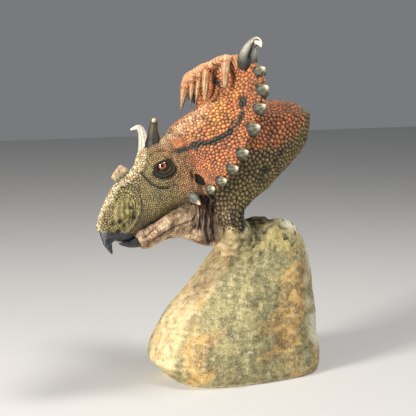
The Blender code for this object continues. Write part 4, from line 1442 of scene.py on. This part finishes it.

# %% [markdown]
# Sponged and streaked paint: grey green in the middle, ochre on both flanks, straw and ivory down the
# left, partly paint and partly painted light, a painted rim light down the right edge, and dark mottling
# where the neck goes in.

# %% Paint masks of the rock
outward = directions(rock.data)
even = relaxed(spots, links, 20)
height = ((spots - even) * outward).sum(1)
near_top = step(118, 146, z + 8 * wander(spots, 16, 62))
dark_join = step(130, 141, z + 6 * wander(spots, 9, 68)) * step(-12, 0, flank + 5 * wander(spots, 10, 69))
dark_join *= step(34, 20, flank)
right_side = np.exp(-(((flank - 54) / 18) ** 2))
left_side = np.exp(-(((flank + 40) / 15) ** 2)) * step(112, 88, z)
ochre_side = right_side + 0.9 * left_side
ochre_edge = 0.8 * wander(spots, 17, 63) + 0.5 * wander(spots * (0.5, 0.5, 1.2), 6, 72)
ochre = 0.85 * step(0.0, 1.3, ochre_side + ochre_edge) * step(136, 118, z)
shoulder = np.interp(z, (0, 32, 60, 81, 97, 115, 140), (-66, -61, -47, -33, -16, -6, -2))
shoulder = shoulder + 3.5 * wander(spots, 9, 64)
# Straw over the front left, left of the shoulder line, is partly paint and partly painted light. The rib is
# ivory paint.
pinkish = step(4, -5, flank - shoulder) * step(30, 4, spots[:, 1])
pinkish = np.clip(np.maximum(pinkish, rib), 0, 1) * (0.8 + 0.2 * wander(spots, 5, 71))
cord_shade = step(-0.2, -0.9, cords) * pinkish
spotty = wander(spots, 4.4, 65) + 0.35 * wander(spots, 2.2, 66)
blotches = step(0.5, 0.75, spotty) * step(110, 140, z + 12 * wander(spots, 20, 67)) * step(0.5, 0.1, pinkish)
blotches = np.maximum(blotches, dark_join * step(-0.7, 0.2, wander(spots * (1, 1, 0.45), 4.5, 70)))
runs = step(0.3, 0.9, wander(spots * (0.4, 0.4, 1), 7, 61)) * step(125, 70, z)
streaky = step(-0.7, 0.5, wander(spots * (0.6, 0.6, 1), 9, 73))
# A pale streaky band along the right outline is a painted rim light.
painted_rim_light = step(64, 74, flank) * step(10, 30, z) * step(22, 2, spots[:, 1]) * streaky
store(
    rock.data, crest=step(0.02, 0.5, height), crease=step(-0.02, -0.5, height), top=near_top, ochre=ochre,
    pinkish=pinkish, cords=cord_shade, blotches=blotches, runs=runs,
    # The knob mask holds the whitish knob and the painted rim light of the right edge.
    knob=np.clip(np.maximum(knob * 2.2, 0.75 * painted_rim_light), 0, 1),
)
print("masks kept on the rock:", len(rock.data.attributes))

# %% [markdown]
# The coats are laid as on the hide. A stipple of light and dark dabs over all of them gives the
# sponged look of the real base.

# %% Rock paint
rock_paint, tree, shader = material_with_shader("painted rock", 0.72)
grey_green = mottled(tree, (164, 154, 106), (120, 116, 82), 80.0)
colour = coat(tree, grey_green, "ochre", mottled(tree, (208, 168, 98), (142, 104, 58), 90.0))
colour = coat(tree, colour, "top", mottled(tree, (204, 184, 116), (160, 146, 84), 120.0))
colour = mixed(tree, sum_of(tree, "MULTIPLY", mask_of(tree, "runs"), 0.5), colour, paint(98, 90, 62))
# Straw and ivory over the front left and the rib: paint, with painted light over the flank.
colour = coat(tree, colour, "pinkish", mottled(tree, (240, 214, 172), (214, 182, 126), 140.0))
# Browner in the troughs between the cords: painted shade.
colour = mixed(tree, sum_of(tree, "MULTIPLY", mask_of(tree, "cords"), 0.4), colour, paint(176, 128, 96))
# Whitish paint on the knob, and the painted rim light along the right edge.
colour = coat(tree, colour, "knob", paint(226, 220, 200))
colour = mixed(tree, sum_of(tree, "MULTIPLY", mask_of(tree, "blotches"), 0.92), colour, paint(36, 36, 28))
colour = brushed(tree, colour, paint(232, 216, 168), "crest", 0.6)
colour = washed(tree, colour, paint(74, 64, 42), "crease", 0.8)
sponge = {"Light": paint(226, 210, 158), "Dark": paint(84, 78, 50), "Size": 560.0, "Strength": 0.5}
colour = placed(tree, stipple, Colour=colour, **sponge)
colour = placed(tree, spatter, Colour=colour, Speck=paint(66, 58, 38), Size=260.0, Strength=0.4)
sealed(tree, shader, colour, 900.0, 0.0006, 0.7)
finished(rock, rock_paint, "painted_rock", "stand_rock")
print("rock points:", len(spots))

# %% [markdown]
# A plain pale floor takes the shadow and gives the eye a ground. It belongs to the stage and not to
# the part.

# %% Floor
pale_floor, tree, shader = material_with_shader("pale floor", 0.8)
shader.inputs["Base Color"].default_value = (0.62, 0.61, 0.59, 1)
bpy.ops.mesh.primitive_plane_add(size=6)
floor = bpy.context.object
floor.name = "floor"
floor.data.materials.append(pale_floor)
print("floor laid")

# %% [markdown]
# One soft key from the upper left models the scales, a low lamp on the same side lights the jaw and
# the front of the rock, a weak fill opens the shadows and a lamp above edges the frill and the neck.

# %% Lights
world = bpy.data.worlds.new("soft room")
bpy.context.scene.world = world
world.use_nodes = True
background = world.node_tree.nodes["Background"]
background.inputs["Color"].default_value = (0.75, 0.78, 0.82, 1)
background.inputs["Strength"].default_value = 0.25


def soft_light(name, place, target, size, power, colour):
    """A round area lamp that shines from its place at the target."""
    data = bpy.data.lights.new(name, "AREA")
    data.shape = "DISK"
    data.size = size
    data.energy = power
    data.color = colour
    lamp = bpy.data.objects.new(name, data)
    bpy.context.scene.collection.objects.link(lamp)
    lamp.location = place
    lamp.rotation_euler = (Vector(target) - Vector(place)).to_track_quat("-Z", "Y").to_euler()
    return lamp


soft_light("key", (-1.35, -0.3, 1.05), (-0.03, 0, 0.18), 0.36, 25, (1, 0.97, 0.92))
soft_light("low", (-1.3, -0.6, 0.16), (-0.05, 0, 0.12), 0.5, 15, (1, 0.96, 0.9))
soft_light("fill", (0.5, -1.3, 0.35), (0, 0, 0.15), 1.0, 4, (0.93, 0.96, 1))
soft_light("top", (0.35, -0.25, 1.35), (0, 0, 0.2), 0.4, 11, (1, 0.98, 0.95))

# %% [markdown]
# The camera stands where the photographer did: a little above the middle, turned 26 degrees, with a
# long lens so that the bust isn't distorted.

# %% Camera
AIM = Vector((-0.027, 0.0107, 0.1662))
AZIMUTH, ELEVATION, DISTANCE = math.radians(-26), math.radians(8), 1.1
away = Vector(
    (
        math.sin(AZIMUTH) * math.cos(ELEVATION),
        -math.cos(AZIMUTH) * math.cos(ELEVATION),
        math.sin(ELEVATION),
    )
)
lens = bpy.data.cameras.new("camera")
lens.lens = 95.2
camera = bpy.data.objects.new("camera", lens)
bpy.context.scene.collection.objects.link(camera)
camera.location = AIM + away * DISTANCE
camera.rotation_euler = (-away).to_track_quat("-Z", "Y").to_euler()
bpy.context.scene.camera = camera
bpy.context.scene.view_settings.view_transform = "Standard"
print("camera stands at:", [round(v, 3) for v in camera.location])
